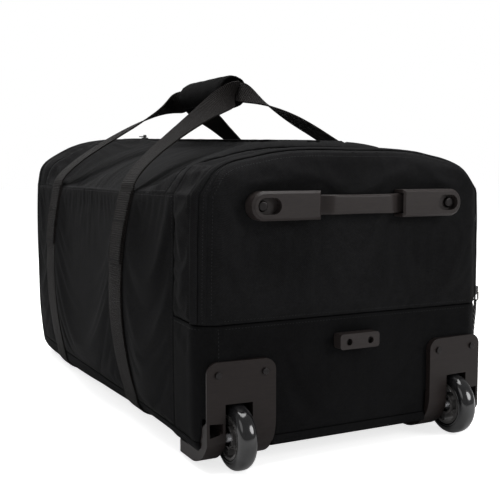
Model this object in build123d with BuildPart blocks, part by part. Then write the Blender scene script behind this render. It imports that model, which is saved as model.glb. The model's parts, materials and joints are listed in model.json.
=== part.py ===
"""Two-wheeled rolling duffel bag, as an assembly of separate pieces, in millimetres.

Frame: X across the bag, +Y from the wheel end to the plain end, +Z up. The origin lies on the floor,
under the middle of the whole bag.
"""
import os
from math import atan2, cos, pi, radians, sin, tan

from build123d import *

os.makedirs("parts", exist_ok=True)

# ---------------------------------------------------------------- driving dimensions
FABRIC = 2.5                 # wall of the fabric panels, lining and foam backing together
SEAM_Z = 321.0               # height of the seam between the sides and the top
SEAM_GAP = 0.4               # half of the gap left where a moving panel meets a fixed one
FRONT_Y = -383.0             # flat wheel end
REAR_Y = 419.0               # plain end
ZIP_Y = -362.0               # middle of the end pocket's zip
ZIP_GAP = 6.0                # from the middle of a zip to the edge of the panel beside it
BULKHEAD_Y = -294.0          # panel between the end pocket and the main compartment
BASE_BAND_Z = 172.0          # top of the fixed band below the end pocket's panel
FLAP_FRONT_Y = -268.0
FLAP_REAR_Y = 330.0
REAR_SEAM_Y = 372.0
BASE_SEAM_Z = 34.0           # seam between the base and the sides
ZIP_SLOPE = 0.0335           # rise of the top zip for each millimetre towards the plain end
ZIP_START_Z = 387.5          # height of the top zip at the front end of the flaps

WHEEL_R = 40.0
WHEEL_W = 24.0
WHEEL_X = 160.0
WHEEL_Y = -379.0
AXLE_R = 3.95
AXLE_HEAD_R = 5.2
BEARING_R = 11.0
BEARING_BORE_R = 4.0
BEARING_W = 7.0
HUB_W = 22.0
SLOT_W = 34.0                # clear width of the wheel well
WELL_WALL = 3.0

PLATE_IN_X = 113.5           # inner and outer edge of a wheel housing
PLATE_OUT_X = 200.0
PLATE_TOP_Z = 131.0
PLATE_FRONT_Y = -391.5
PLATE_TURN = 4.0             # degrees that the housing's face is turned outwards
SHELL_R = 52.0               # sweep of the housing under the bag
SHELL_BOTTOM_Z = 6.0
SHELL_REAR_Y = -306.0
SHELL_T = 3.5
SLOT_TOP_Z = 81.0

STRAP_W = 50.0
STRAP_T = 2.2
STRAP_FRONT_Y = -136.0
STRAP_REAR_Y = 229.0
WRAP_FRONT_Y = -51.0
WRAP_REAR_Y = 119.0
WRAP_Z = 469.5
WRAP_R = 25.5
WRAP_TILT = 28.0             # degrees that the joint through the grip wrap leans over
WRAP_JOINT = 0.4
GRIP_WEB_W = 30.0            # width of the webbing where it is folded inside the grip wrap

HANDLE_Z = 308.0
BLOCK_IN_X = 59.0
BLOCK_OUT_X = 150.0
BLOCK_H = 34.0
BLOCK_D = 20.0
BLOCK_WALL = 2.5
GRIP_H = 24.0
GRIP_T = 6.0
RIVET_X = 134.0              # where the rivets hold the handle's blocks to the panel
RIVET_RECESS_X = 128.0

SCREW_INSET_X = 14.0         # of a housing's screws from its inner and outer edge
SCREW_DROP = 15.0            # of a housing's screws below its top edge
FOOT_SCREW_X = 15.5
FOOT_SCREW_Z = 141.0

SCREW_R = 2.0
CLEAR = 0.15                 # clearance between pieces that only lie on each other
LIGHT = 0.1                  # clearance around a screw

# ---------------------------------------------------------------- the bag's form
# y, bottom z, bottom corner radius, lower, middle and seam half-width,
# the shoulder's two points (x, z), and the top's z on the centre line
STATIONS = [
    (-383.0, 24.0, 14.0, 183.0, 184.0, 182.0, (167.0, 346.0), (120.0, 359.0), 366.0),
    (-376.0, 20.0, 15.0, 195.0, 197.0, 194.0, (177.0, 347.0), (124.0, 364.0), 371.0),
    (-362.0, 18.0, 15.0, 205.0, 208.0, 206.0, (181.0, 348.0), (124.0, 366.0), 373.0),
    (-294.0, 17.0, 16.0, 203.5, 204.5, 202.0, (182.0, 350.0), (130.0, 369.0), 380.0),
    (-286.0, 16.7, 18.0, 203.5, 206.0, 202.5, (181.0, 350.0), (128.0, 372.0), None),
    (-268.0, 16.2, 22.0, 203.5, 209.0, 203.0, (180.0, 349.0), (124.0, 374.0), None),
    (-136.0, 12.0, 28.0, 203.0, 224.0, 204.0, (172.0, 339.5), (115.0, 368.0), None),
    (40.0, 6.5, 28.0, 203.0, 226.0, 204.0, (178.0, 350.0), (115.0, 382.0), None),
    (174.0, 2.2, 28.0, 203.0, 222.0, 204.0, (174.0, 342.0), (115.0, 374.0), None),
    (254.0, 2.2, 28.0, 203.0, 218.0, 204.0, (174.0, 342.0), (115.0, 376.0), None),
    (330.0, 2.2, 28.0, 202.0, 212.0, 204.0, (191.0, 354.0), (143.0, 384.0), None),
    (380.0, 2.2, 28.0, 199.0, 207.0, 203.0, (195.0, 354.0), (158.0, 382.0), None),
    (404.0, 7.0, 28.0, 189.0, 198.0, 196.0, (187.0, 350.0), (150.0, 374.0), 399.0),
    (419.0, 30.0, 28.0, 163.0, 172.0, 170.0, (158.0, 340.0), (110.0, 362.0), 376.0),
]


def zip_line_z(y):
    """Height of the straight top zip."""
    return ZIP_START_Z + (y - FLAP_FRONT_Y) * ZIP_SLOPE


def station_numbers(row):
    """One station as a flat list, with the top's height filled in where it follows the zip."""
    y, z0, r, w0, w1, w2, s1, s2, top = row
    top = zip_line_z(y) if top is None else top
    return [y, z0, r, w0, w1, w2, s1[0], s1[1], s2[0], s2[1], top]


ROWS = [station_numbers(row) for row in STATIONS]


def form_at(y):
    """The section's numbers at any y, in a straight line between the two stations beside it."""
    for low, high in zip(ROWS, ROWS[1:]):
        if y <= high[0] or high is ROWS[-1]:
            share = (y - low[0]) / (high[0] - low[0])
            return [a + (b - a) * share for a, b in zip(low, high)]


def cross_plane(y):
    """A plane across the bag, with its x along X and its y along Z."""
    return Plane(origin=(0, y, 0), x_dir=(1, 0, 0), z_dir=(0, -1, 0))


def section_points(y, inset):
    """The corners of the bag's section at y, moved inwards by inset: the crown's, then one side's."""
    _, z0, r, w0, w1, w2, x1, z1, x2, z2, top = form_at(y)
    right = [
        (w2 - inset, SEAM_Z),
        (x1 - inset * 0.8, z1 - inset * 0.6),
        (x2 - inset * 0.35, z2 - inset * 0.95),
    ]
    crown = right + [(0.0, top - inset)] + [(-x, z) for x, z in reversed(right)]
    bend = (r - inset) * sin(radians(45))
    side = [
        right[0],
        (w1 - inset, 180.0),
        (w0 - inset, z0 + r),
        (w0 - r + bend, z0 + r - bend),
        (w0 - r, z0 + inset),
    ]
    return crown, side


def stations_between(y_low, y_high):
    """The places of the sections needed to loft from y_low to y_high."""
    inner = [row[0] for row in ROWS if y_low + 0.5 < row[0] < y_high - 0.5]
    return [y_low] + inner + [y_high]


def form_solid(y_low, y_high, inset, end_step=0.0):
    """The bag's form between two places along it, moved inwards by inset."""
    with BuildPart() as form:
        for y in stations_between(y_low + end_step, y_high - end_step):
            crown, side = section_points(y, inset)
            other = [(-x, z) for x, z in side]
            with BuildSketch(cross_plane(y)):
                with BuildLine():
                    Spline(*crown)
                    ThreePointArc(*other[:3])
                    ThreePointArc(*other[2:])
                    Line(other[4], side[4])
                    ThreePointArc(*reversed(side[2:]))
                    ThreePointArc(*reversed(side[:3]))
                make_face()
        loft(ruled=True)
    return form.part


def band_solid(y_low, y_high, outer, inner):
    """A closed band round the bag, between two insets of its form."""
    with BuildPart() as band:
        add(form_solid(y_low, y_high, outer))
        add(form_solid(y_low - 1, y_high + 1, inner), mode=Mode.SUBTRACT)
    return band.part


def keep_box(x_range, y_range, z_range):
    """Keep only what lies in a box of the current part."""
    size = [high - low for low, high in (x_range, y_range, z_range)]
    middle = tuple((high + low) / 2 for low, high in (x_range, y_range, z_range))
    with Locations(middle):
        Box(*size, mode=Mode.INTERSECT)


def cut_box(x_range, y_range, z_range):
    """Cut a box out of the current part."""
    size = [high - low for low, high in (x_range, y_range, z_range)]
    middle = tuple((high + low) / 2 for low, high in (x_range, y_range, z_range))
    with Locations(middle):
        Box(*size, mode=Mode.SUBTRACT)


def add_box(x_range, y_range, z_range):
    """Add a box to the current part."""
    size = [high - low for low, high in (x_range, y_range, z_range)]
    middle = tuple((high + low) / 2 for low, high in (x_range, y_range, z_range))
    with Locations(middle):
        Box(*size)


def rod_x(x_low, x_high, y, z, radius, mode=Mode.ADD):
    """A round bar along X in the current part."""
    with Locations(((x_low + x_high) / 2, y, z)):
        Cylinder(radius, x_high - x_low, rotation=(0, 90, 0), mode=mode)


def rod_y(x, y_low, y_high, z, radius, mode=Mode.ADD):
    """A round bar along Y in the current part."""
    with Locations((x, (y_low + y_high) / 2, z)):
        Cylinder(radius, y_high - y_low, rotation=(90, 0, 0), mode=mode)


def hand_in(piece, name):
    """Label a finished piece and write it."""
    piece.label = name
    export_step(piece, f"parts/{name}.step")


FAR = 600.0
FULL_X = (-FAR, FAR)
FULL_Y = (-FAR, FAR)
FULL_Z = (-FAR, FAR)
SIDES = {"left": -1, "right": 1}


def span(side, low, high):
    """A range of x on one side of the bag."""
    return (low, high) if side > 0 else (-high, -low)


# ---------------------------------------------------------------- fabric shell
with BuildPart() as shell:
    add(form_solid(FRONT_Y, REAR_Y, 0.0))
    add(form_solid(FRONT_Y, REAR_Y, FABRIC, end_step=FABRIC), mode=Mode.SUBTRACT)

HOUSING_CLEAR = 0.3


def cut_for_housings():
    """Open the fabric where the two wheel housings take the place of its corners."""
    for side in SIDES.values():
        opening = span(side, PLATE_IN_X - HOUSING_CLEAR, PLATE_OUT_X + HOUSING_CLEAR)
        cut_box(opening, (-FAR, SHELL_REAR_Y + HOUSING_CLEAR), (-FAR, 62.0))
        well_half = SLOT_W / 2 + WELL_WALL + HOUSING_CLEAR
        well = span(side, WHEEL_X - well_half, WHEEL_X + well_half)
        cut_box(well, (-FAR, -325.0), (-FAR, 88.0))


def cut_screw_holes():
    """Clear the housing screws and the foot's screws through the wheel end."""
    for side in SIDES.values():
        for x in (PLATE_IN_X + SCREW_INSET_X, PLATE_OUT_X - SCREW_INSET_X):
            rod_y(side * x, FRONT_Y - 12, FRONT_Y + 30, PLATE_TOP_Z - SCREW_DROP, SCREW_R + LIGHT,
                  Mode.SUBTRACT)
        rod_y(side * FOOT_SCREW_X, FRONT_Y - 30, FRONT_Y + 30, FOOT_SCREW_Z, SCREW_R + LIGHT, Mode.SUBTRACT)


with BuildPart() as base_panel:
    add(shell.part)
    keep_box(FULL_X, (-FAR, REAR_SEAM_Y), (-FAR, BASE_SEAM_Z))
    cut_for_housings()
hand_in(base_panel.part, "base_panel")

with BuildPart() as front_base_band:
    add(shell.part)
    keep_box(FULL_X, (-FAR, BULKHEAD_Y), (BASE_SEAM_Z, BASE_BAND_Z - SEAM_GAP))
    cut_for_housings()
    cut_screw_holes()
hand_in(front_base_band.part, "front_base_band")

for name, side in SIDES.items():
    with BuildPart() as side_panel:
        add(shell.part)
        keep_box(span(side, 20, FAR), (BULKHEAD_Y, REAR_SEAM_Y), (BASE_SEAM_Z, SEAM_Z - SEAM_GAP))
    hand_in(side_panel.part, f"{name}_side_panel")

with BuildPart() as rear_end_panel:
    add(shell.part)
    keep_box(FULL_X, (REAR_SEAM_Y, FAR), FULL_Z)
hand_in(rear_end_panel.part, "rear_end_panel")

with BuildPart() as pocket_gusset:
    add(shell.part)
    keep_box(FULL_X, (ZIP_Y + ZIP_GAP, BULKHEAD_Y), (BASE_BAND_Z - SEAM_GAP, FAR))
hand_in(pocket_gusset.part, "pocket_gusset")

TOP_ZIP_EDGE = 7.0           # from the centre line to the edge of the fabric beside the top zip

with BuildPart() as front_top_cap:
    add(shell.part)
    keep_box(FULL_X, (BULKHEAD_Y, FLAP_FRONT_Y - SEAM_GAP), (SEAM_Z - SEAM_GAP, FAR))
    cut_box((-TOP_ZIP_EDGE, TOP_ZIP_EDGE), (-286.0, FLAP_FRONT_Y), (350, FAR))
hand_in(front_top_cap.part, "front_top_cap")

with BuildPart() as rear_top_cap:
    add(shell.part)
    keep_box(FULL_X, (FLAP_REAR_Y + SEAM_GAP, REAR_SEAM_Y), (SEAM_Z - SEAM_GAP, FAR))
    cut_box((-TOP_ZIP_EDGE, TOP_ZIP_EDGE), (FLAP_REAR_Y, 364.0), (350, FAR))
hand_in(rear_top_cap.part, "rear_top_cap")

for name, side in SIDES.items():
    with BuildPart() as top_panel:
        add(shell.part)
        keep_box(span(side, TOP_ZIP_EDGE, FAR), (FLAP_FRONT_Y, FLAP_REAR_Y), (SEAM_Z + SEAM_GAP, FAR))
    hand_in(top_panel.part, f"{name}_top_panel")

with BuildPart() as pocket_panel:
    add(shell.part)
    keep_box(FULL_X, (-FAR, ZIP_Y - ZIP_GAP), (BASE_BAND_Z + SEAM_GAP, FAR))
    for side in SIDES.values():
        rod_y(side * RIVET_X, FRONT_Y - 5, FRONT_Y + 5, HANDLE_Z, SCREW_R + LIGHT, Mode.SUBTRACT)
hand_in(pocket_panel.part, "pocket_panel")

with BuildPart() as pocket_bulkhead:
    add(form_solid(BULKHEAD_Y, BULKHEAD_Y + 1.5, FABRIC + CLEAR))
    cut_box(FULL_X, FULL_Y, (-FAR, 27.0))
hand_in(pocket_bulkhead.part, "pocket_bulkhead")

# ---------------------------------------------------------------- zips
TAPE_OUT = 0.9               # how far the zip tapes and the coils lie below the fabric's surface
TAPE_IN = 2.1
COIL_OUT = -0.3
COIL_IN = 2.3
COIL_W = 1.5
TEETH_GAP = 0.35


def zip_half(y_low, y_high, coil_low, coil_high, z_range):
    """One half of the end pocket's zip: its tape and its coil, as one piece."""
    with BuildPart() as half:
        add(band_solid(y_low, y_high, TAPE_OUT, TAPE_IN))
        add(band_solid(coil_low, coil_high, COIL_OUT, COIL_IN))
        keep_box(FULL_X, FULL_Y, z_range)
    return half.part


PANEL_ZIP_END_Z = 200.0      # the panel's half stops above the parked slider
pocket_zip_fixed_half = zip_half(
    ZIP_Y + TEETH_GAP, ZIP_Y + ZIP_GAP - CLEAR,
    ZIP_Y + TEETH_GAP, ZIP_Y + TEETH_GAP + COIL_W, (BASE_BAND_Z, FAR))
hand_in(pocket_zip_fixed_half, "pocket_zip_fixed_half")

with BuildPart() as pocket_zip_panel_half:
    add(zip_half(ZIP_Y - ZIP_GAP + CLEAR, ZIP_Y - TEETH_GAP,
                 ZIP_Y - TEETH_GAP - COIL_W, ZIP_Y - TEETH_GAP, (BASE_BAND_Z + 1, FAR)))
    cut_box((100, FAR), FULL_Y, (-FAR, PANEL_ZIP_END_Z))
hand_in(pocket_zip_panel_half.part, "pocket_zip_panel_half")


def top_zip_half(side, y_low, y_high):
    """One half of the top zip between two places along the bag."""
    with BuildPart() as half:
        add(band_solid(y_low, y_high, TAPE_OUT, TAPE_IN))
        keep_box(span(side, TEETH_GAP + COIL_W, TOP_ZIP_EDGE - CLEAR), FULL_Y, (350, FAR))
    with BuildPart() as coil:
        add(band_solid(y_low, y_high, COIL_OUT, COIL_IN))
        keep_box(span(side, TEETH_GAP, TEETH_GAP + COIL_W), FULL_Y, (350, FAR))
    with BuildPart() as both:
        add(half.part)
        add(coil.part)
    return both.part


for name, side in SIDES.items():
    hand_in(top_zip_half(side, FLAP_FRONT_Y + 0.3, FLAP_REAR_Y - 0.3), f"{name}_top_zip_half")

with BuildPart() as top_zip_ends:
    for y_low, y_high in ((-285.8, FLAP_FRONT_Y - SEAM_GAP), (FLAP_REAR_Y + SEAM_GAP, 363.8)):
        for side in SIDES.values():
            add(top_zip_half(side, y_low, y_high))
hand_in(top_zip_ends.part, "top_zip_ends")

SLIDER_L = 13.0
SLIDER_W = 10.6
SLIDER_T = 2.4
BRIDGE_W = 3.0
BRIDGE_H = 5.4
PULL_BAR = 2.0


def zip_slider(place):
    """A slider whose own x runs along its zip and whose own z points off the bag."""
    with BuildPart(place) as slider:
        with Locations((0, 0, 0.7)):
            Box(SLIDER_L, SLIDER_W, SLIDER_T, align=(Align.CENTER, Align.CENTER, Align.MIN))
        fillet(slider.edges().filter_by(Axis(place.origin, place.z_dir)), 2.5)
        with Locations((0, 0, -0.4)):
            for edge_y in (-1, 1):
                with Locations((0, edge_y * (SLIDER_W / 2 - 0.7), 0)):
                    Box(SLIDER_L - 5, 1.4, 1.2, align=(Align.CENTER, Align.CENTER, Align.MIN))
        with Locations((0, 0, 0.7 + SLIDER_T)):
            Box(10.0, BRIDGE_W, BRIDGE_H, align=(Align.CENTER, Align.CENTER, Align.MIN))
        with Locations((0, 0, 0.7 + SLIDER_T)):
            Box(6.4, BRIDGE_W + 2, BRIDGE_H - 1.6, align=(Align.CENTER, Align.CENTER, Align.MIN),
                mode=Mode.SUBTRACT)
    return slider.part


def pull_bar(place, length, width, bar):
    """A flat ring that hangs from a slider's bridge, along its own +x."""
    with BuildPart(place) as pull:
        with Locations((length / 2 - bar / 2, 0, 0)):
            Box(length, width, bar)
        fillet(pull.edges().filter_by(Axis(place.origin, place.z_dir)), width * 0.36)
        with Locations((length / 2 - bar / 2, 0, 0)):
            Box(length - 2 * bar, width - 2 * bar, bar * 2, mode=Mode.SUBTRACT)
        fillet(pull.edges().filter_by(GeomType.CIRCLE), 0.4)
    return pull.part


TOP_SLIDER_Y = 350.0
slope = atan2(ZIP_SLOPE, 1.0)
top_slider_origin = (0, TOP_SLIDER_Y, zip_line_z(TOP_SLIDER_Y))
top_slider_place = Plane(origin=top_slider_origin, x_dir=(0, cos(slope), sin(slope)),
                         z_dir=(0, -sin(slope), cos(slope)))
hand_in(zip_slider(top_slider_place), "top_zip_slider")

POCKET_SLIDER_Z = 186.0
pocket_side_x = form_at(ZIP_Y)[4]
pocket_slider_place = Plane(origin=(pocket_side_x, ZIP_Y, POCKET_SLIDER_Z), x_dir=(0, 0, -1), z_dir=(1, 0, 0))
hand_in(zip_slider(pocket_slider_place), "pocket_zip_slider")

PULL_HEIGHT = 0.7 + SLIDER_T + (BRIDGE_H - 1.6) / 2
TOP_PULL_L = 24.0
top_pull_place = top_slider_place.offset(PULL_HEIGHT)
hand_in(pull_bar(top_pull_place, TOP_PULL_L, 9.0, PULL_BAR), "top_zip_pull")
POCKET_PULL_L = 16.0
pocket_pull_place = pocket_slider_place.offset(PULL_HEIGHT)
hand_in(pull_bar(pocket_pull_place, POCKET_PULL_L, 12.0, PULL_BAR), "pocket_zip_pull")

# braided pull cord: knotted round the ring's lower bar, hanging, with a moulded end
CORD_D = 4.0
CORD_X = pocket_pull_place.origin.X
CORD_TOP_Z = POCKET_SLIDER_Z - (POCKET_PULL_L - PULL_BAR / 2) - CLEAR
CORD_END_L = 13.0
cord_route = [
    (CORD_X, ZIP_Y, CORD_TOP_Z),
    (CORD_X + 0.6, ZIP_Y + 1.0, CORD_TOP_Z - 14.0),
    (CORD_X + 0.4, ZIP_Y + 3.2, CORD_TOP_Z - 31.0),
    (CORD_X, ZIP_Y + 4.0, CORD_TOP_Z - 48.0),
]


def cord_radii(route):
    """The bend at each corner of a route: 0.45 of its shorter run, over the tangent of half the turn."""
    radii = []
    for before, here, after in zip(route, route[1:], route[2:]):
        arriving = Vector(*here) - Vector(*before)
        leaving = Vector(*after) - Vector(*here)
        half_turn = radians(arriving.get_angle(leaving)) / 2
        radii.append(0.45 * min(arriving.length, leaving.length) / tan(half_turn))
    return radii


bend_radii = cord_radii(cord_route)
print("pull cord's bends:", [round(radius, 1) for radius in bend_radii])
with BuildPart() as pull_cord:
    with BuildLine() as cord_path:
        FilletPolyline(*cord_route, radius=bend_radii)
    with BuildSketch(Plane(origin=cord_route[0], z_dir=cord_path.wire() % 0)):
        Circle(CORD_D / 2)
    sweep()
hand_in(pull_cord.part, "pull_cord")
cord_length = cord_path.wire().length
print("pull cord: volume", round(pull_cord.part.volume, 1), "length", round(cord_length, 2),
      "section times length", round(cord_length * pi * CORD_D ** 2 / 4, 1))

cord_end_place = Plane(origin=cord_route[-1], x_dir=(1, 0, 0), z_dir=cord_path.wire() % 1)
with BuildPart(cord_end_place) as pull_cord_end:
    with Locations((0, 0, CORD_END_L / 2)):
        Box(6.0, 10.0, CORD_END_L)
    fillet(pull_cord_end.edges(), 2.2)
hand_in(pull_cord_end.part, "pull_cord_end")

# ---------------------------------------------------------------- stiffening boards
BOARD_T = 4.0
BOARD_LOW_X = 110.0
with BuildPart() as end_board:
    add_box((-178, 178), (FRONT_Y + FABRIC + CLEAR, FRONT_Y + FABRIC + CLEAR + BOARD_T), (90, 168))
    add_box((-BOARD_LOW_X, BOARD_LOW_X), (FRONT_Y + FABRIC + CLEAR, FRONT_Y + FABRIC + CLEAR + BOARD_T),
            (28, 90))
    cut_screw_holes()
hand_in(end_board.part, "end_board")

BASE_BOARD_FRONT_Y = BULKHEAD_Y + 4
BASE_BOARD_REAR_Y = 366.0
BASE_BOARD_HALF_W = 160.0
BASE_FLAT_Y = 174.0
BASE_BOARD_T = 3.0
base_board_line = []
for y in (BASE_BOARD_FRONT_Y, -268.0, -136.0, 40.0, BASE_FLAT_Y, BASE_BOARD_REAR_Y):
    base_board_line.append((y, form_at(y)[1] + FABRIC + CLEAR))
with BuildPart() as base_board:
    with BuildSketch(Plane.YZ.offset(-BASE_BOARD_HALF_W)):
        with BuildLine():
            Polyline(*base_board_line, *[(y, z + BASE_BOARD_T) for y, z in reversed(base_board_line)],
                     close=True)
        make_face()
    extrude(amount=2 * BASE_BOARD_HALF_W)
hand_in(base_board.part, "base_board")

# ---------------------------------------------------------------- webbing round the bag
for name, y in (("front_strap_band", STRAP_FRONT_Y), ("rear_strap_band", STRAP_REAR_Y)):
    with BuildPart() as strap_band:
        add(band_solid(y - STRAP_W / 2, y + STRAP_W / 2, -STRAP_T, -CLEAR / 3))
        keep_box(FULL_X, FULL_Y, (-FAR, SEAM_Z - SEAM_GAP))
    hand_in(strap_band.part, name)

# ---------------------------------------------------------------- haul handles
tilt = radians(WRAP_TILT)
joint_along = Vector(sin(tilt), 0, cos(tilt))
joint_across = Vector(cos(tilt), 0, -sin(tilt))
wrap_centre = Vector(0, 0, WRAP_Z)
LEG_RISE_Z = 329.0


def at_y(point, y):
    """The same point at another y."""
    return Vector(point.X, y, point.Z)


LEG_STEPS = 12
LEG_LEAD = 5.0               # straight stretch of webbing outside each end of the wrap
LEG_BEND = 26.0              # stretch over which a leg turns in line with the grip
LEG_LIFT = (20.0, 8.0, 46.0)  # how a leg leaves the seam: inwards, towards the grip and up
TWIST_POWER = 1.6
# where each leg starts to twist, by the bag's side and by the way that the leg leans along it
TWIST_START = {(-1, 1): 0.0, (1, 1): 0.5, (-1, -1): 0.4, (1, -1): 0.3}


def corners_of(middle, half_width, half_thickness):
    """The four corners of one section through a strap."""
    return [
        middle + half_width + half_thickness,
        middle - half_width + half_thickness,
        middle - half_width - half_thickness,
        middle + half_width - half_thickness,
    ]


def strap_solid(sections):
    """A closed strap through a row of sections, made of flat triangles that all face outwards."""
    first_edge = sections[0][1] - sections[0][0]
    last_edge = sections[0][3] - sections[0][0]
    right_handed = first_edge.cross(last_edge).dot(sections[1][0] - sections[0][0]) > 0

    def outward(*points):
        return Face(Wire.make_polygon(points if right_handed else points[::-1]))

    faces = [outward(*sections[0][::-1]), outward(*sections[-1])]
    for near, far in zip(sections, sections[1:]):
        for here, there in ((0, 1), (1, 2)):
            faces.append(outward(near[here], near[there], far[here]))
            faces.append(outward(near[there], far[there], far[here]))
        for here, there in ((2, 3), (3, 0)):
            faces.append(outward(near[here], near[there], far[there]))
            faces.append(outward(near[here], far[there], far[here]))
    return Solid(Shell(faces))


def leg_sections(side, y_strap, y_wrap):
    """Sections of a webbing leg, as (middle, half width, half thickness), from its seam up to the wrap."""
    toward = 1 if y_wrap > y_strap else -1
    outer_x = form_at(y_strap)[5] + CLEAR / 3 + STRAP_T / 2
    along_bag = Vector(0, toward, 0)
    outward = Vector(side, 0, 0)
    start = Vector(side * (outer_x - 1.0), y_strap, LEG_RISE_Z)
    off_joint = joint_across * (side * (WRAP_JOINT + STRAP_T / 2))
    finish = at_y(wrap_centre, y_wrap - toward * LEG_LEAD) + off_joint
    seam_middle = Vector(side * outer_x, y_strap, SEAM_Z + SEAM_GAP)
    facing = outward
    sections = [(seam_middle, along_bag * (STRAP_W / 2), facing * (STRAP_T / 2))]
    pull_1 = start + Vector(-side * LEG_LIFT[0], toward * LEG_LIFT[1], LEG_LIFT[2])
    late = TWIST_START[side, toward]
    pull_2 = finish - along_bag * LEG_BEND
    for step in range(LEG_STEPS + 1):
        t = step / LEG_STEPS
        back = 1 - t
        middle = (start * back ** 3 + pull_1 * (3 * t * back ** 2) + pull_2 * (3 * t ** 2 * back)
                  + finish * t ** 3)
        travel = ((pull_1 - start) * back ** 2 + (pull_2 - pull_1) * (2 * t * back)
                  + (finish - pull_2) * t ** 2).normalized()
        turn = max(0.0, (t - late) / (1 - late)) ** TWIST_POWER
        width = along_bag * (1 - turn) + joint_along * turn
        width = (width - travel * (width.dot(travel) * min(1, 2 * t))).normalized()
        thickness = travel.cross(width).normalized()
        facing = thickness if thickness.dot(facing) > 0 else -thickness
        half_w = (STRAP_W + (GRIP_WEB_W - STRAP_W) * turn) / 2
        sections.append((middle, width * half_w, facing * (STRAP_T / 2)))
    return sections


def haul_loop_solid(side):
    """A whole haul loop: up its front leg, through the wrap and down its rear leg."""
    front = leg_sections(side, STRAP_FRONT_Y, WRAP_FRONT_Y)
    rear = leg_sections(side, STRAP_REAR_Y, WRAP_REAR_Y)
    same_face = 1 if front[-1][2].dot(rear[-1][2]) > 0 else -1
    rear = [(middle, width, thickness * same_face) for middle, width, thickness in rear]
    return strap_solid([corners_of(*section) for section in front + rear[::-1]])


for name, side in SIDES.items():
    across = joint_across * side
    grip_middle = wrap_centre + across * (WRAP_JOINT + STRAP_T / 2)
    with BuildPart() as haul_loop:
        add(haul_loop_solid(side))
    hand_in(haul_loop.part, f"{name}_haul_loop")
    half_middle = wrap_centre + across * (WRAP_JOINT + WRAP_R)
    with BuildPart() as grip_wrap_half:
        rod_y(0, WRAP_FRONT_Y + 3, WRAP_REAR_Y - 3, WRAP_Z, WRAP_R)
        fillet(grip_wrap_half.edges().filter_by(GeomType.CIRCLE), 6.0)
        with BuildSketch(Plane(origin=at_y(half_middle, WRAP_FRONT_Y - 5), x_dir=-joint_along,
                               z_dir=(0, 1, 0))):
            Rectangle(4 * WRAP_R, 2 * WRAP_R)
        extrude(amount=WRAP_REAR_Y - WRAP_FRONT_Y + 10, mode=Mode.INTERSECT)
        with BuildSketch(Plane(origin=at_y(grip_middle, WRAP_FRONT_Y - 5), x_dir=-joint_along,
                               z_dir=(0, 1, 0))):
            Rectangle(GRIP_WEB_W + 2 * LIGHT, STRAP_T + 2 * LIGHT)
        extrude(amount=WRAP_REAR_Y - WRAP_FRONT_Y + 10, mode=Mode.SUBTRACT)
    hand_in(grip_wrap_half.part, f"{name}_grip_wrap_half")

# ---------------------------------------------------------------- end handle
BLOCK_BACK_Y = FRONT_Y - CLEAR
BLOCK_FRONT_Y = BLOCK_BACK_Y - BLOCK_D
CAVITY_X = 86.0
for name, side in SIDES.items():
    with BuildPart() as handle_block:
        with BuildSketch(cross_plane(BLOCK_BACK_Y)):
            with Locations((side * (BLOCK_IN_X + BLOCK_OUT_X - BLOCK_H / 2) / 2, HANDLE_Z)):
                Rectangle(BLOCK_OUT_X - BLOCK_IN_X - BLOCK_H / 2, BLOCK_H)
            with Locations((side * (BLOCK_OUT_X - BLOCK_H / 2), HANDLE_Z)):
                Circle(BLOCK_H / 2)
        extrude(amount=BLOCK_D)
        chamfer(handle_block.faces().sort_by(Axis.Y)[0].edges(), 3.0)
        cavity = span(side, BLOCK_IN_X - 1, CAVITY_X)
        cut_box(cavity, (BLOCK_FRONT_Y + BLOCK_WALL, BLOCK_BACK_Y - BLOCK_WALL),
                (HANDLE_Z - GRIP_H / 2 - 0.8, HANDLE_Z + GRIP_H / 2 + 0.8))
        with BuildSketch(cross_plane(BLOCK_FRONT_Y)):
            with Locations((side * RIVET_RECESS_X, HANDLE_Z)):
                SlotOverall(30.0, 19.0)
        extrude(amount=-9.0, mode=Mode.SUBTRACT)
        rod_y(side * RIVET_X, BLOCK_FRONT_Y, BLOCK_BACK_Y + 1, HANDLE_Z, SCREW_R + LIGHT, Mode.SUBTRACT)
    hand_in(handle_block.part, f"{name}_handle_block")

RIVET_HEAD_R = 6.5
with BuildPart() as handle_rivets:
    for side in SIDES.values():
        rod_y(side * RIVET_X, BLOCK_FRONT_Y + 9.0, FRONT_Y + FABRIC + 5.0, HANDLE_Z, SCREW_R)
        rod_y(side * RIVET_X, BLOCK_FRONT_Y + 5.0, BLOCK_FRONT_Y + 8.9, HANDLE_Z, RIVET_HEAD_R)
        rod_y(side * RIVET_X, BLOCK_FRONT_Y + 8.5, BLOCK_FRONT_Y + 9.5, HANDLE_Z, SCREW_R)
        rod_y(side * RIVET_X, FRONT_Y + FABRIC + 5.0, FRONT_Y + FABRIC + 6.5, HANDLE_Z, SCREW_R + 2)
    fillet(handle_rivets.edges().group_by(Axis.Y)[0], 2.5)
hand_in(handle_rivets.part, "handle_rivets")

with BuildPart() as handle_backing_plate:
    back_y = FRONT_Y + FABRIC + CLEAR
    with BuildSketch(cross_plane(back_y + 2.0)):
        with Locations((0, HANDLE_Z)):
            SlotOverall(300.0, 40.0)
    extrude(amount=2.0)
    for side in SIDES.values():
        rod_y(side * RIVET_X, back_y - 1, back_y + 4, HANDLE_Z, SCREW_R + LIGHT, Mode.SUBTRACT)
hand_in(handle_backing_plate.part, "handle_backing_plate")

GRIP_END_X = 80.0
GRIP_MID_X = 47.0
GRIP_BEND = 11.0             # stretch of x over which the grip steps back to its ends
GRIP_MID_BACK = 12.0         # how far the middle of the grip's back stands off the panel
GRIP_END_BACK = 4.5
STRIP_T = 1.2


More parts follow.
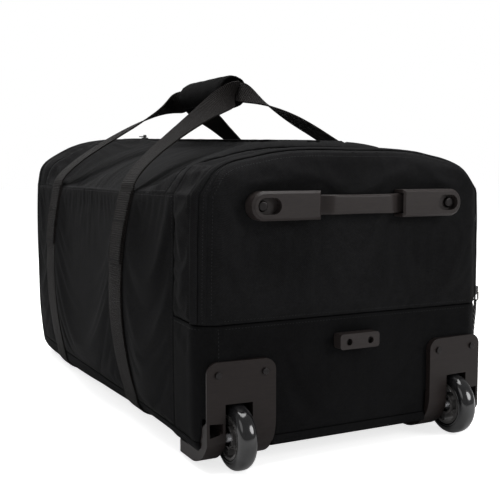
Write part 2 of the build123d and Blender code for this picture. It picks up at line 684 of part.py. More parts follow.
def bowed_outline(back, thickness):
    """Points of the grip seen from above: its ends lie deeper than its middle."""
    end_y = BLOCK_BACK_Y - GRIP_END_BACK - back
    middle_y = BLOCK_BACK_Y - GRIP_MID_BACK - back
    rear = [(GRIP_END_X, end_y), (GRIP_MID_X + GRIP_BEND, end_y), (GRIP_MID_X, middle_y)]
    rear_left = [(-x, y) for x, y in rear]
    front = [(x, y - thickness) for x, y in reversed(rear)]
    front_left = [(x, y - thickness) for x, y in rear_left]
    return rear + rear_left[::-1] + front_left + front


with BuildPart() as grip_strap:
    with BuildSketch(Plane.XY.offset(HANDLE_Z - GRIP_H / 2)):
        with BuildLine():
            Polyline(*bowed_outline(0.0, GRIP_T), close=True)
        make_face()
    extrude(amount=GRIP_H)
    with BuildSketch(Plane.XY.offset(HANDLE_Z - 8.0 - LIGHT)):
        with BuildLine():
            Polyline(*bowed_outline((GRIP_T - STRIP_T) / 2 - LIGHT, STRIP_T + 2 * LIGHT), close=True)
        make_face()
    extrude(amount=16.0 + 2 * LIGHT, mode=Mode.SUBTRACT)
hand_in(grip_strap.part, "grip_strap")

with BuildPart() as grip_spring_strip:
    with BuildSketch(Plane.XY.offset(HANDLE_Z - 8.0)):
        with BuildLine():
            Polyline(*bowed_outline((GRIP_T - STRIP_T) / 2, STRIP_T), close=True)
        make_face()
    extrude(amount=16.0)
hand_in(grip_spring_strip.part, "grip_spring_strip")

# ---------------------------------------------------------------- stand foot
FOOT_HALF_W = 28.5
FOOT_LOW_Z = 132.0
FOOT_HIGH_Z = 151.0
FOOT_D = 15.0
with BuildPart() as stand_foot:
    foot_y = (FRONT_Y - CLEAR - FOOT_D, FRONT_Y - CLEAR)
    add_box((-FOOT_HALF_W, FOOT_HALF_W), foot_y, (FOOT_LOW_Z, FOOT_HIGH_Z))
    fillet(stand_foot.edges().filter_by(Axis.Y), 4.0)
    with Locations((0, FRONT_Y - FOOT_D - 24, FOOT_HIGH_Z + 24)):
        Cylinder(34.0, 4 * FOOT_HALF_W, rotation=(0, 90, 0), mode=Mode.SUBTRACT)
    for side in SIDES.values():
        rod_y(side * FOOT_SCREW_X, FRONT_Y - FAR, FRONT_Y + 1, FOOT_SCREW_Z, SCREW_R + LIGHT, Mode.SUBTRACT)
        rod_y(side * FOOT_SCREW_X, FRONT_Y - FAR, FRONT_Y - 7, FOOT_SCREW_Z, 4.2, Mode.SUBTRACT)
hand_in(stand_foot.part, "stand_foot")

with BuildPart() as stand_foot_screws:
    for side in SIDES.values():
        rod_y(side * FOOT_SCREW_X, FRONT_Y - 10, FRONT_Y - 7.05, FOOT_SCREW_Z, 3.9)
        rod_y(side * FOOT_SCREW_X, FRONT_Y - 8, FRONT_Y + 9, FOOT_SCREW_Z, SCREW_R)
hand_in(stand_foot_screws.part, "stand_foot_screws")

# ---------------------------------------------------------------- wheel housings
arc_y = PLATE_FRONT_Y + SHELL_R
arc_z = SHELL_BOTTOM_Z + SHELL_R
PLATE_BACK_Y = FRONT_Y - CLEAR


def sweep_point(radius):
    """The middle of the housing's sweep, at a radius from its centre."""
    return (arc_y - radius * cos(radians(45)), arc_z - radius * sin(radians(45)))


WELL_REAR_Y = -330.0         # the back of the wheel well, and where the cheeks' slope turns
WELL_TOP_Z = 87.0
SHELL_LEAN = 3.5             # rise of the plate's underside towards the bag
CHEEK_BEND_Z = 22.0
CHEEK_REAR_RISE = 16.0
BOSS_L = 6.0                 # of the bosses that the axle passes through, beside the wheel
POCKET_END = 14.0            # from the wheel slot to the end of the axle's pockets
FACE_TURN = radians(PLATE_TURN)
FACE_MIDDLE_Y = PLATE_FRONT_Y + tan(FACE_TURN) * (PLATE_OUT_X - PLATE_IN_X) / 2
inner_r = SHELL_R - SHELL_T
slot_x = (WHEEL_X - SLOT_W / 2, WHEEL_X + SLOT_W / 2)
well_x = (slot_x[0] - WELL_WALL, slot_x[1] + WELL_WALL)
for name, side in SIDES.items():
    plate_middle_x = side * (PLATE_IN_X + PLATE_OUT_X) / 2
    with BuildPart() as wheel_housing:
        with BuildSketch(Plane.YZ.offset(min(span(side, PLATE_IN_X, PLATE_OUT_X)))):
            with BuildLine():
                Polyline((PLATE_BACK_Y, PLATE_TOP_Z), (PLATE_FRONT_Y, PLATE_TOP_Z), (PLATE_FRONT_Y, arc_z))
                ThreePointArc((PLATE_FRONT_Y, arc_z), sweep_point(SHELL_R), (arc_y, SHELL_BOTTOM_Z))
                Polyline((arc_y, SHELL_BOTTOM_Z), (SHELL_REAR_Y, SHELL_BOTTOM_Z),
                         (SHELL_REAR_Y, SHELL_BOTTOM_Z + SHELL_T), (arc_y, SHELL_BOTTOM_Z + SHELL_T))
                ThreePointArc((arc_y, SHELL_BOTTOM_Z + SHELL_T), sweep_point(inner_r),
                              (PLATE_FRONT_Y + SHELL_T, arc_z))
                Polyline((PLATE_FRONT_Y + SHELL_T, arc_z), (PLATE_BACK_Y, arc_z + SHELL_LEAN),
                         (PLATE_BACK_Y, PLATE_TOP_Z))
            make_face()
        extrude(amount=PLATE_OUT_X - PLATE_IN_X)
        corners = wheel_housing.edges().filter_by(Axis.Y).group_by(Axis.Z)[-1]
        fillet(corners, 14.0)
        inner_cheek = span(side, PLATE_IN_X, PLATE_IN_X + SHELL_T)
        outer_cheek = span(side, PLATE_OUT_X - SHELL_T, PLATE_OUT_X)
        for cheek in (inner_cheek, outer_cheek):
            with BuildSketch(Plane.YZ.offset(cheek[0])):
                with BuildLine():
                    Polyline((PLATE_FRONT_Y + 1, arc_z), (PLATE_BACK_Y, arc_z + SHELL_LEAN),
                             (WELL_REAR_Y, CHEEK_BEND_Z), (SHELL_REAR_Y, SHELL_BOTTOM_Z + CHEEK_REAR_RISE),
                             (SHELL_REAR_Y, SHELL_BOTTOM_Z + 1), (arc_y, SHELL_BOTTOM_Z + 1))
                    ThreePointArc((arc_y, SHELL_BOTTOM_Z + 1), sweep_point(SHELL_R - 1),
                                  (PLATE_FRONT_Y + 1, arc_z))
                make_face()
            extrude(amount=SHELL_T)
        with BuildSketch(Plane.YZ.offset(min(span(side, *well_x)))):
            with BuildLine():
                Polyline((arc_y, SHELL_BOTTOM_Z + 1), (WELL_REAR_Y, SHELL_BOTTOM_Z + 1),
                         (WELL_REAR_Y, WELL_TOP_Z), (PLATE_BACK_Y - 1, WELL_TOP_Z),
                         (PLATE_BACK_Y - 1, arc_z + 1), (PLATE_FRONT_Y + 1, arc_z + 1))
                ThreePointArc((PLATE_FRONT_Y + 1, arc_z + 1), sweep_point(SHELL_R - 1),
                              (arc_y, SHELL_BOTTOM_Z + 1))
            make_face()
        extrude(amount=well_x[1] - well_x[0])
        rod_x(*span(side, slot_x[0] - BOSS_L, slot_x[1] + BOSS_L), WHEEL_Y, WHEEL_R, 9.0)
        cut_box(span(side, *slot_x), (-FAR, WELL_REAR_Y - WELL_WALL), (-FAR, SLOT_TOP_Z))
        cut_box(span(side, *slot_x), (PLATE_BACK_Y, WELL_REAR_Y - WELL_WALL), (-FAR, WELL_TOP_Z - WELL_WALL))
        rod_x(*span(side, slot_x[0] - 10, slot_x[1] + 10), WHEEL_Y, WHEEL_R, AXLE_R + LIGHT, Mode.SUBTRACT)
        inner_pocket = (slot_x[0] - POCKET_END, slot_x[0] - BOSS_L)
        outer_pocket = (slot_x[1] + BOSS_L, slot_x[1] + POCKET_END)
        for pocket in (inner_pocket, outer_pocket):
            rod_x(*span(side, *pocket), WHEEL_Y, WHEEL_R, AXLE_HEAD_R + LIGHT, Mode.SUBTRACT)
        turned = Plane(origin=(plate_middle_x, FACE_MIDDLE_Y, 0),
                       z_dir=(side * sin(FACE_TURN), -cos(FACE_TURN), 0))
        split(bisect_by=turned, keep=Keep.BOTTOM)
        for x in (PLATE_IN_X + SCREW_INSET_X, PLATE_OUT_X - SCREW_INSET_X):
            rod_y(side * x, -FAR, FRONT_Y + 1, PLATE_TOP_Z - SCREW_DROP, SCREW_R + LIGHT, Mode.SUBTRACT)
    hand_in(wheel_housing.part, f"{name}_wheel_housing")

with BuildPart() as housing_screws:
    for side in SIDES.values():
        for x in (PLATE_IN_X + SCREW_INSET_X, PLATE_OUT_X - SCREW_INSET_X):
            face_y = FACE_MIDDLE_Y + (x - (PLATE_IN_X + PLATE_OUT_X) / 2) * tan(FACE_TURN)
            rod_y(side * x, face_y - 2.6, face_y - 0.35, PLATE_TOP_Z - SCREW_DROP, 4.0)
            rod_y(side * x, face_y - 1, FRONT_Y + 9, PLATE_TOP_Z - SCREW_DROP, SCREW_R)
hand_in(housing_screws.part, "housing_screws")

# ---------------------------------------------------------------- wheels
SPOKES = 5
RIM_IN_R = 23.5
TYRE_IN_R = 27.0
CORE_R = 14.0
HUB_BORE_R = 7.0
RACE_GAP = 0.06
INNER_RACE_R = 6.3
OUTER_RACE_R = 9.0


def axle_plane(x):
    """A plane square to the wheels' axle line, at x."""
    return Plane(origin=(x, WHEEL_Y, WHEEL_R), x_dir=(0, 1, 0), z_dir=(1, 0, 0))


for name, side in SIDES.items():
    centre_x = side * WHEEL_X
    with BuildPart() as tyre:
        with BuildSketch(axle_plane(centre_x - WHEEL_W / 2)):
            Circle(WHEEL_R)
            Circle(TYRE_IN_R, mode=Mode.SUBTRACT)
        extrude(amount=WHEEL_W)
        fillet(tyre.edges().filter_by(GeomType.CIRCLE).group_by(SortBy.RADIUS)[-1], 7.0)
    hand_in(tyre.part, f"{name}_tyre")
    with BuildPart() as hub:
        with BuildSketch(axle_plane(centre_x - HUB_W / 2)):
            Circle(TYRE_IN_R)
            Circle(RIM_IN_R, mode=Mode.SUBTRACT)
        extrude(amount=HUB_W)
        with BuildSketch(axle_plane(centre_x - HUB_W / 2)):
            Circle(CORE_R)
        extrude(amount=HUB_W)
        with BuildSketch(axle_plane(centre_x - HUB_W / 2 + 3)):
            with PolarLocations((CORE_R + RIM_IN_R) / 2, SPOKES):
                Rectangle(RIM_IN_R - CORE_R + 3, 6.0)
        extrude(amount=HUB_W - 6)
        for edge in (-1, 1):
            seat = (centre_x + edge * HUB_W / 2, centre_x + edge * (HUB_W / 2 - BEARING_W))
            rod_x(min(seat), max(seat), WHEEL_Y, WHEEL_R, BEARING_R, Mode.SUBTRACT)
        rod_x(centre_x - HUB_W, centre_x + HUB_W, WHEEL_Y, WHEEL_R, HUB_BORE_R, Mode.SUBTRACT)
    hand_in(hub.part, f"{name}_hub")
    with BuildPart() as bearing_outer_races:
        for edge in (-1, 1):
            seat = (centre_x + edge * HUB_W / 2, centre_x + edge * (HUB_W / 2 - BEARING_W))
            rod_x(min(seat), max(seat), WHEEL_Y, WHEEL_R, BEARING_R)
        rod_x(centre_x - HUB_W, centre_x + HUB_W, WHEEL_Y, WHEEL_R, INNER_RACE_R + RACE_GAP, Mode.SUBTRACT)
    hand_in(bearing_outer_races.part, f"{name}_bearing_outer_races")
    with BuildPart() as bearing_inner_races:
        for edge in (-1, 1):
            seat = (centre_x + edge * HUB_W / 2, centre_x + edge * (HUB_W / 2 - BEARING_W))
            rod_x(min(seat), max(seat), WHEEL_Y, WHEEL_R, INNER_RACE_R)
        rod_x(centre_x - HUB_W, centre_x + HUB_W, WHEEL_Y, WHEEL_R, BEARING_BORE_R, Mode.SUBTRACT)
    hand_in(bearing_inner_races.part, f"{name}_bearing_inner_races")
    with BuildPart() as axle_spacers:
        middle_gap = HUB_W / 2 - BEARING_W
        rod_x(centre_x - middle_gap, centre_x + middle_gap, WHEEL_Y, WHEEL_R, 5.5)
        for edge in (-1, 1):
            bush = (centre_x + edge * HUB_W / 2, centre_x + edge * SLOT_W / 2)
            rod_x(min(bush), max(bush), WHEEL_Y, WHEEL_R, 6.0)
        rod_x(centre_x - HUB_W, centre_x + HUB_W, WHEEL_Y, WHEEL_R, BEARING_BORE_R, Mode.SUBTRACT)
    hand_in(axle_spacers.part, f"{name}_axle_spacers")
    head = side * (WHEEL_X + SLOT_W / 2 + 6)
    thread = side * (WHEEL_X - SLOT_W / 2 - 6)
    with BuildPart() as axle_bolt:
        rod_x(*sorted((thread - side * 7, head)), WHEEL_Y, WHEEL_R, AXLE_R)
        rod_x(*sorted((head, head + side * 4)), WHEEL_Y, WHEEL_R, AXLE_HEAD_R)
    hand_in(axle_bolt.part, f"{name}_axle_bolt")
    with BuildPart() as axle_nut:
        rod_x(*sorted((thread, thread - side * 5)), WHEEL_Y, WHEEL_R, AXLE_HEAD_R)
        rod_x(*sorted((thread + side, thread - side * 6)), WHEEL_Y, WHEEL_R, AXLE_R + 0.02, Mode.SUBTRACT)
    hand_in(axle_nut.part, f"{name}_axle_nut")
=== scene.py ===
"""Looks of a two-wheeled rolling duffel bag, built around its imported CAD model.

The CAD nodes hold every size and every joint. This script makes the cloth panels, webbing, grip wrap,
zips, stitching and softened mouldings that the eye sees, rides them on the CAD bodies, and gives every
piece its finish. Lengths inside the classes are millimetres, and meshes are written in metres.
"""

from __future__ import annotations

import json
import logging
import math
from collections.abc import Callable, Iterable, Sequence
from dataclasses import dataclass, field
from enum import Enum
from functools import lru_cache

import bmesh
import bpy
from mathutils import Matrix, Vector, noise
from mathutils.bvhtree import BVHTree

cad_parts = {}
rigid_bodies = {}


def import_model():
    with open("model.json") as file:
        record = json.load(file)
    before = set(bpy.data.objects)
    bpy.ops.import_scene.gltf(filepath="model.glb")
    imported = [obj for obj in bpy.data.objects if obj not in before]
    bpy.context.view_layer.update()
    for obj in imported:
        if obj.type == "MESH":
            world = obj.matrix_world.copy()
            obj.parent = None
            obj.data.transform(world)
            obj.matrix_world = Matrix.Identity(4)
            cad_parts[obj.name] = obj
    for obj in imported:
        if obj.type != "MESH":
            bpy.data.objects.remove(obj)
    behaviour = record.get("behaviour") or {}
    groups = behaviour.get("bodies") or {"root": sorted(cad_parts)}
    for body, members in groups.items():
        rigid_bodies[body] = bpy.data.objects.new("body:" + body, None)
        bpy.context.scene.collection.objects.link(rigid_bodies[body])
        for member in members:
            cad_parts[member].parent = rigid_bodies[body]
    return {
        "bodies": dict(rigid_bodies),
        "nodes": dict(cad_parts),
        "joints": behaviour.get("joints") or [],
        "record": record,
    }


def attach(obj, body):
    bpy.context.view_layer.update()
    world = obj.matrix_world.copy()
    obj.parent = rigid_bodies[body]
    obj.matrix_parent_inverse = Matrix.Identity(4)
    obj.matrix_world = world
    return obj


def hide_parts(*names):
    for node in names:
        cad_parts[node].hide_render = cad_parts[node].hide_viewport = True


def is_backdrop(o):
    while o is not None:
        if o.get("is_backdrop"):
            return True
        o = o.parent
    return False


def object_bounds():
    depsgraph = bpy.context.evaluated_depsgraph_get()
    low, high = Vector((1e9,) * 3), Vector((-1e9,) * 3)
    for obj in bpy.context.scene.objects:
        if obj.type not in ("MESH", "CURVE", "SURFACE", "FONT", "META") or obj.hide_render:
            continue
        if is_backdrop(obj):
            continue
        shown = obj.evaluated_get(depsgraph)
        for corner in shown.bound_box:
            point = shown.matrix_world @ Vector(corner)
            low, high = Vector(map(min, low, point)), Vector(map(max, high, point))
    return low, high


MM = 0.001
log = logging.getLogger("duffel")


class Side(Enum):
    """The two sides of the bag, as signs of x."""

    LEFT = -1
    RIGHT = 1

    @property
    def word(self) -> str:
        """The side's name, as the CAD nodes spell it."""
        return self.name.lower()


class Slot(Enum):
    """Names of material slots in the record."""

    FABRIC = "fabric"
    WEBBING = "webbing"
    WRAP = "wrap"
    COIL = "zip_coil"
    METAL = "zip_metal"
    MOULDING = "moulding"
    GRIP = "grip"
    CORD = "cord"
    CORD_END = "cord_end"
    FASTENER = "fastener"


# ------------------------------------------------------------------ node groups and finishes


def group_of(name: str, inputs: dict[str, tuple[str, float]], outputs: dict[str, str]) -> bpy.types.NodeTree:
    """Make an empty shader node group.

    Args:
        name: the group's name.
        inputs: socket name to (kind, default); kind is Float or Vector.
        outputs: socket name to kind; Float, Color or Vector.

    Returns:
        The node tree, with its group input and output nodes named "in" and "out".
    """
    tree = bpy.data.node_groups.new(name, "ShaderNodeTree")
    for socket, (kind, default) in inputs.items():
        made = tree.interface.new_socket(socket, in_out="INPUT", socket_type=f"NodeSocket{kind}")
        if kind == "Float":
            made.default_value = default
    for socket, kind in outputs.items():
        tree.interface.new_socket(socket, in_out="OUTPUT", socket_type=f"NodeSocket{kind}")
    tree.nodes.new("NodeGroupInput").name = "in"
    tree.nodes.new("NodeGroupOutput").name = "out"
    return tree


def maths(tree: bpy.types.NodeTree, operation: str, first: object, second: object = None) -> object:
    """Add a Math node and return its output.

    Args:
        tree: the tree to add to.
        operation: the Math node's operation.
        first: a socket or a number.
        second: a socket or a number, or None.

    Returns:
        The node's output socket.
    """
    node = tree.nodes.new("ShaderNodeMath")
    node.operation = operation
    for place, value in enumerate((first, second)):
        if value is None:
            continue
        if isinstance(value, (int, float)):
            node.inputs[place].default_value = value
        else:
            tree.links.new(value, node.inputs[place])
    return node.outputs[0]


def noise_of(tree: bpy.types.NodeTree, vector: object, scale: float, detail: float = 3.0) -> object:
    """Add a noise texture and return its factor.

    Args:
        tree: the tree to add to.
        vector: the socket that gives the place.
        scale: the noise's scale.
        detail: the noise's detail.

    Returns:
        The texture's Fac socket.
    """
    node = tree.nodes.new("ShaderNodeTexNoise")
    node.inputs["Scale"].default_value = scale
    node.inputs["Detail"].default_value = detail
    tree.links.new(vector, node.inputs["Vector"])
    return node.outputs[0]


def build_weave_group() -> bpy.types.NodeTree:
    """A plain weave: threads that pass over and under each other, from a UV in metres, with painted shade where they
    sink.
    """
    tree = group_of(
        "plain_weave",
        {"Vector": ("Vector", 0.0), "Threads": ("Float", 1400.0), "Ratio": ("Float", 1.0)},
        {"Height": "Float", "Shade": "Float"},
    )
    enter, leave = tree.nodes["in"], tree.nodes["out"]
    split = tree.nodes.new("ShaderNodeSeparateXYZ")
    tree.links.new(enter.outputs["Vector"], split.inputs[0])
    across = maths(tree, "MULTIPLY", split.outputs[0], enter.outputs["Threads"])
    ratio = maths(tree, "MULTIPLY", enter.outputs["Threads"], enter.outputs["Ratio"])
    along = maths(tree, "MULTIPLY", split.outputs[1], ratio)
    warp = maths(tree, "SINE", maths(tree, "MULTIPLY", across, math.pi))
    weft = maths(tree, "SINE", maths(tree, "MULTIPLY", along, math.pi))
    crossing = maths(tree, "MULTIPLY", warp, weft)
    height = maths(tree, "ADD", maths(tree, "MULTIPLY", crossing, 0.5), 0.5)
    uneven = noise_of(tree, enter.outputs["Vector"], 420.0, 4.0)
    tree.links.new(maths(tree, "ADD", height, maths(tree, "MULTIPLY", uneven, 0.5)), leave.inputs["Height"])
    # Shade: the weave's relief painted into the colour, sunken threads darker as painted shade, scaled by random
    # unevenness
    tree.links.new(maths(tree, "MULTIPLY", height, uneven), leave.inputs["Shade"])
    return tree


def build_rib_group() -> bpy.types.NodeTree:
    """Webbing: cross ribs of chevron-like threads, from a UV in metres."""
    tree = group_of(
        "webbing_rib",
        {"Vector": ("Vector", 0.0), "Ribs": ("Float", 420.0)},
        {"Height": "Float", "Shade": "Float"},
    )
    enter, leave = tree.nodes["in"], tree.nodes["out"]
    split = tree.nodes.new("ShaderNodeSeparateXYZ")
    tree.links.new(enter.outputs["Vector"], split.inputs[0])
    run = maths(tree, "MULTIPLY", split.outputs[0], enter.outputs["Ribs"])
    rib = maths(tree, "SINE", maths(tree, "MULTIPLY", run, 2 * math.pi))
    thread = maths(tree, "SINE", maths(tree, "MULTIPLY", split.outputs[1], 2 * math.pi * 900.0))
    fibre = noise_of(tree, enter.outputs["Vector"], 1300.0, 2.0)
    height = maths(tree, "ADD", maths(tree, "MULTIPLY", rib, 0.35), maths(tree, "MULTIPLY", thread, 0.15))
    tree.links.new(maths(tree, "ADD", height, fibre), leave.inputs["Height"])
    # Shade: the ribs painted into the colour, their valleys darker as painted shade, with random fibre tone
    tree.links.new(maths(tree, "ADD", maths(tree, "MULTIPLY", rib, 0.3), fibre), leave.inputs["Shade"])
    return tree


def build_dust_group() -> bpy.types.NodeTree:
    """Slow cloudy variation and fine lint, from object coordinates."""
    tree = group_of("lint_and_wear", {"Vector": ("Vector", 0.0), "Amount": ("Float", 0.5)}, {"Mask": "Float"})
    enter, leave = tree.nodes["in"], tree.nodes["out"]
    clouds = noise_of(tree, enter.outputs["Vector"], 9.0, 4.0)
    lint = noise_of(tree, enter.outputs["Vector"], 160.0, 2.0)
    both = maths(tree, "ADD", maths(tree, "MULTIPLY", clouds, 0.7), maths(tree, "MULTIPLY", lint, 0.3))
    centred = maths(tree, "SUBTRACT", both, 0.5)
    tree.links.new(maths(tree, "MULTIPLY", centred, enter.outputs["Amount"]), leave.inputs["Mask"])
    return tree


def build_grain_group() -> bpy.types.NodeTree:
    """Spark-eroded grain of a moulding, with faint scuffs, from object coordinates."""
    tree = group_of(
        "moulded_grain",
        {"Vector": ("Vector", 0.0), "Scale": ("Float", 900.0)},
        {"Height": "Float", "Scuff": "Float"},
    )
    enter, leave = tree.nodes["in"], tree.nodes["out"]
    grain = tree.nodes.new("ShaderNodeTexVoronoi")
    tree.links.new(enter.outputs["Vector"], grain.inputs["Vector"])
    tree.links.new(enter.outputs["Scale"], grain.inputs["Scale"])
    tree.links.new(grain.outputs["Distance"], leave.inputs["Height"])
    stretch = tree.nodes.new("ShaderNodeMapping")
    stretch.inputs["Scale"].default_value = (1.0, 1.0, 6.0)
    tree.links.new(enter.outputs["Vector"], stretch.inputs["Vector"])
    tree.links.new(noise_of(tree, stretch.outputs[0], 70.0, 5.0), leave.inputs["Scuff"])
    return tree


@dataclass(frozen=True)
class Finish:
    """One finish: the numbers of its shader and the pattern that it wears."""

    name: str
    dark: tuple[float, float, float]
    light: tuple[float, float, float]
    roughness: float
    pattern: str = "grain"
    density: float = 900.0
    ratio: float = 1.0
    bump: float = 0.2
    bump_distance: float = 0.0003
    metallic: float = 0.0
    sheen: float = 0.0
    coat: float = 0.0
    specular: float = 0.5

    def build(self, groups: dict[str, bpy.types.NodeTree]) -> bpy.types.Material:
        """Make the material.

        Args:
            groups: the shared node groups by name.

        Returns:
            The new material.
        """
        material = bpy.data.materials.new(self.name)
        material.use_nodes = True
        tree = material.node_tree
        shader = tree.nodes["Principled BSDF"]
        shader.inputs["Metallic"].default_value = self.metallic
        shader.inputs["Sheen Weight"].default_value = self.sheen
        shader.inputs["Sheen Roughness"].default_value = 0.45
        shader.inputs["Coat Weight"].default_value = self.coat
        shader.inputs["Coat Roughness"].default_value = 0.08
        shader.inputs["Specular IOR Level"].default_value = self.specular
        place = tree.nodes.new("ShaderNodeTexCoord")
        cloth = self.pattern in ("weave", "rib")
        pattern = tree.nodes.new("ShaderNodeGroup")
        pattern.node_tree = groups[self.pattern]
        tree.links.new(place.outputs["UV" if cloth else "Object"], pattern.inputs["Vector"])
        for socket, value in (("Threads", self.density), ("Ribs", self.density), ("Scale", self.density),
                              ("Ratio", self.ratio)):
            if socket in pattern.inputs:
                pattern.inputs[socket].default_value = value
        dust = tree.nodes.new("ShaderNodeGroup")
        dust.node_tree = groups["dust"]
        dust.inputs["Amount"].default_value = 0.9
        tree.links.new(place.outputs["Object"], dust.inputs["Vector"])
        # On cloth, webbing and tape the pattern's Shade is painted shade of the threads' relief, on mouldings the Scuff
        # is wear; with the random dust and lint tone it picks between the dark and light colours
        shade = maths(tree, "ADD", pattern.outputs["Shade" if cloth else "Scuff"], dust.outputs["Mask"])
        blend = tree.nodes.new("ShaderNodeMix")
        blend.data_type = "RGBA"
        blend.clamp_factor = True
        tree.links.new(shade, blend.inputs["Factor"])
        blend.inputs["A"].default_value = (*self.dark, 1.0)
        blend.inputs["B"].default_value = (*self.light, 1.0)
        tree.links.new(blend.outputs["Result"], shader.inputs["Base Color"])
        rough = maths(tree, "ADD", self.roughness, maths(tree, "MULTIPLY", dust.outputs["Mask"], 0.25))
        tree.links.new(rough, shader.inputs["Roughness"])
        bump = tree.nodes.new("ShaderNodeBump")
        bump.inputs["Strength"].default_value = self.bump
        bump.inputs["Distance"].default_value = self.bump_distance
        tree.links.new(pattern.outputs["Height"], bump.inputs["Height"])
        tree.links.new(bump.outputs["Normal"], shader.inputs["Normal"])
        return material


FINISHES = {
    "cloth": Finish("black_pack_cloth", (0.0025, 0.0025, 0.0027), (0.0240, 0.0240, 0.0250), 0.78, "weave", 900.0,
                    bump=0.5, bump_distance=0.0006, specular=0.05),
    "band_cloth": Finish("black_base_cloth", (0.0020, 0.0020, 0.0022), (0.0145, 0.0145, 0.0152), 0.75, "weave", 1000.0,
                         bump=0.4, bump_distance=0.0005, specular=0.04),
    "lining": Finish("grey_lining", (0.03, 0.03, 0.033), (0.06, 0.06, 0.064), 0.7, "weave", 1800.0,
                     bump=0.2, bump_distance=0.0002),
    "webbing": Finish("brown_black_webbing", (0.0010, 0.0008, 0.0008), (0.0290, 0.0252, 0.0240), 0.6, "rib", 340.0,
                      bump=1.0, bump_distance=0.0028, specular=0.07),
    "tape": Finish("zip_tape", (0.002, 0.002, 0.002), (0.007, 0.007, 0.0075), 0.75, "rib", 700.0, specular=0.12,
                   bump=0.4, bump_distance=0.0003),
    "wrap": Finish("wrap_cloth", (0.0006, 0.0006, 0.0006), (0.0034, 0.0034, 0.0036), 0.75, "weave", 1100.0,
                   bump=0.5, bump_distance=0.0006, specular=0.03),
    "thread": Finish("sewing_thread", (0.004, 0.004, 0.0045), (0.014, 0.014, 0.015), 0.55, "grain", 2500.0, bump=0.3,
                     specular=0.25),
    "moulding": Finish("warm_grey_moulding", (0.0105, 0.0078, 0.0073), (0.0200, 0.0155, 0.0146), 0.38, "grain", 1500.0,
                       bump=0.10, bump_distance=0.0002, specular=0.16),
    "grip": Finish("soft_grip", (0.0170, 0.0135, 0.0130), (0.029, 0.0238, 0.0228), 0.44, "grain", 1800.0, bump=0.12,
                   bump_distance=0.0002, specular=0.2),
    "tyre": Finish("gloss_polyurethane", (0.0055, 0.0055, 0.006), (0.010, 0.010, 0.011), 0.16, "grain", 700.0,
                   bump=0.015, bump_distance=0.0001, coat=0.6, specular=0.4),
    "hub": Finish("glinting_hub", (0.05, 0.048, 0.047), (0.10, 0.096, 0.095), 0.24, "grain", 900.0, bump=0.03,
                  bump_distance=0.0001, coat=0.5),
    "steel": Finish("bright_steel", (0.38, 0.38, 0.39), (0.55, 0.55, 0.56), 0.28, "grain", 1600.0, bump=0.05,
                    bump_distance=0.0001, metallic=1.0),
    "screw": Finish("blackened_screw", (0.010, 0.009, 0.009), (0.030, 0.027, 0.027), 0.34, "grain", 1400.0, bump=0.1,
                    bump_distance=0.0001, metallic=0.8),
    "slider": Finish("black_lacquer", (0.02, 0.02, 0.02), (0.05, 0.05, 0.05), 0.3, "grain", 1400.0, bump=0.06,
                     bump_distance=0.0001, metallic=0.6, coat=0.3),
    "ring": Finish("worn_nickel", (0.32, 0.31, 0.29), (0.55, 0.54, 0.52), 0.25, "grain", 1400.0, bump=0.06,
                   bump_distance=0.0001, metallic=1.0),
    "cord": Finish("dark_braid", (0.008, 0.008, 0.009), (0.022, 0.022, 0.023), 0.7, "grain", 2000.0, bump=0.3,
                   sheen=0.1),
    "fleck": Finish("light_braid", (0.35, 0.34, 0.33), (0.55, 0.54, 0.52), 0.6, "grain", 2000.0, bump=0.2),
    "board": Finish("stiff_board", (0.03, 0.03, 0.03), (0.05, 0.05, 0.05), 0.6, "grain", 900.0, bump=0.1),
}


class Wardrobe:
    """Builds each finish once and hands it out."""

    def __init__(self) -> None:
        """Make the shared node groups."""
        self.groups = {
            "weave": build_weave_group(),
            "rib": build_rib_group(),
            "dust": build_dust_group(),
            "grain": build_grain_group(),
        }
        self.made: dict[str, bpy.types.Material] = {}

    def get(self, name: str) -> bpy.types.Material:
        """The material of a finish, built the first time it is asked for."""
        if name not in self.made:
            self.made[name] = FINISHES[name].build(self.groups)
        return self.made[name]

    def dress(self, obj: bpy.types.Object, name: str) -> None:
        """Give a whole object one finish."""
        obj.data.materials.clear()
        obj.data.materials.append(self.get(name))


# ------------------------------------------------------------------ mesh helpers


def new_object(name: str, mesh: bpy.types.Mesh) -> bpy.types.Object:
    """Link a new object that sits at the origin."""
    obj = bpy.data.objects.new(name, mesh)
    bpy.context.scene.collection.objects.link(obj)
    return obj


def finish_mesh(bm: bmesh.types.BMesh, name: str, smooth: bool = True) -> bpy.types.Object:
    """Write a bmesh to a new object, in metres.

    Args:
        bm: the bmesh, in millimetres; it is freed.
        name: the object's name.
        smooth: whether its faces are shaded smooth.

    Returns:
        The object.
    """
    bmesh.ops.scale(bm, vec=(MM, MM, MM), verts=bm.verts)
    for face in bm.faces:
        face.smooth = smooth
    mesh = bpy.data.meshes.new(name)
    bm.to_mesh(mesh)
    bm.free()
    return new_object(name, mesh)


def apply_modifiers(obj: bpy.types.Object) -> None:
    """Replace an object's mesh by its evaluated mesh and drop its modifiers."""
    graph = bpy.context.evaluated_depsgraph_get()
    mesh = bpy.data.meshes.new_from_object(obj.evaluated_get(graph))
    old = obj.data
    obj.modifiers.clear()
    obj.data = mesh
    bpy.data.meshes.remove(old)


def shaped_grid(
    columns: int, rows: int, place: Callable[[float, float], Vector], measure: Callable[[float, float], tuple]
) -> bmesh.types.BMesh:
    """A grid that is bent to a surface.

    Args:
        columns: faces along the first direction.
        rows: faces along the second direction.
        place: gives the point at (s, t), each from 0 to 1, in millimetres.
        measure: gives the UV at (s, t), in metres.

    Returns:
        The bmesh, with its UV layer.
    """
    bm = bmesh.new()
    bmesh.ops.create_grid(bm, x_segments=columns, y_segments=rows, size=0.5)
    uv = bm.loops.layers.uv.new("UVMap")
    flat = {vert: (vert.co.x + 0.5, vert.co.y + 0.5) for vert in bm.verts}
    for face in bm.faces:
        for loop in face.loops:
            loop[uv].uv = measure(*flat[loop.vert])
    for vert, (s, t) in flat.items():
        vert.co = place(s, t)
    bmesh.ops.recalc_face_normals(bm, faces=bm.faces)
    return bm


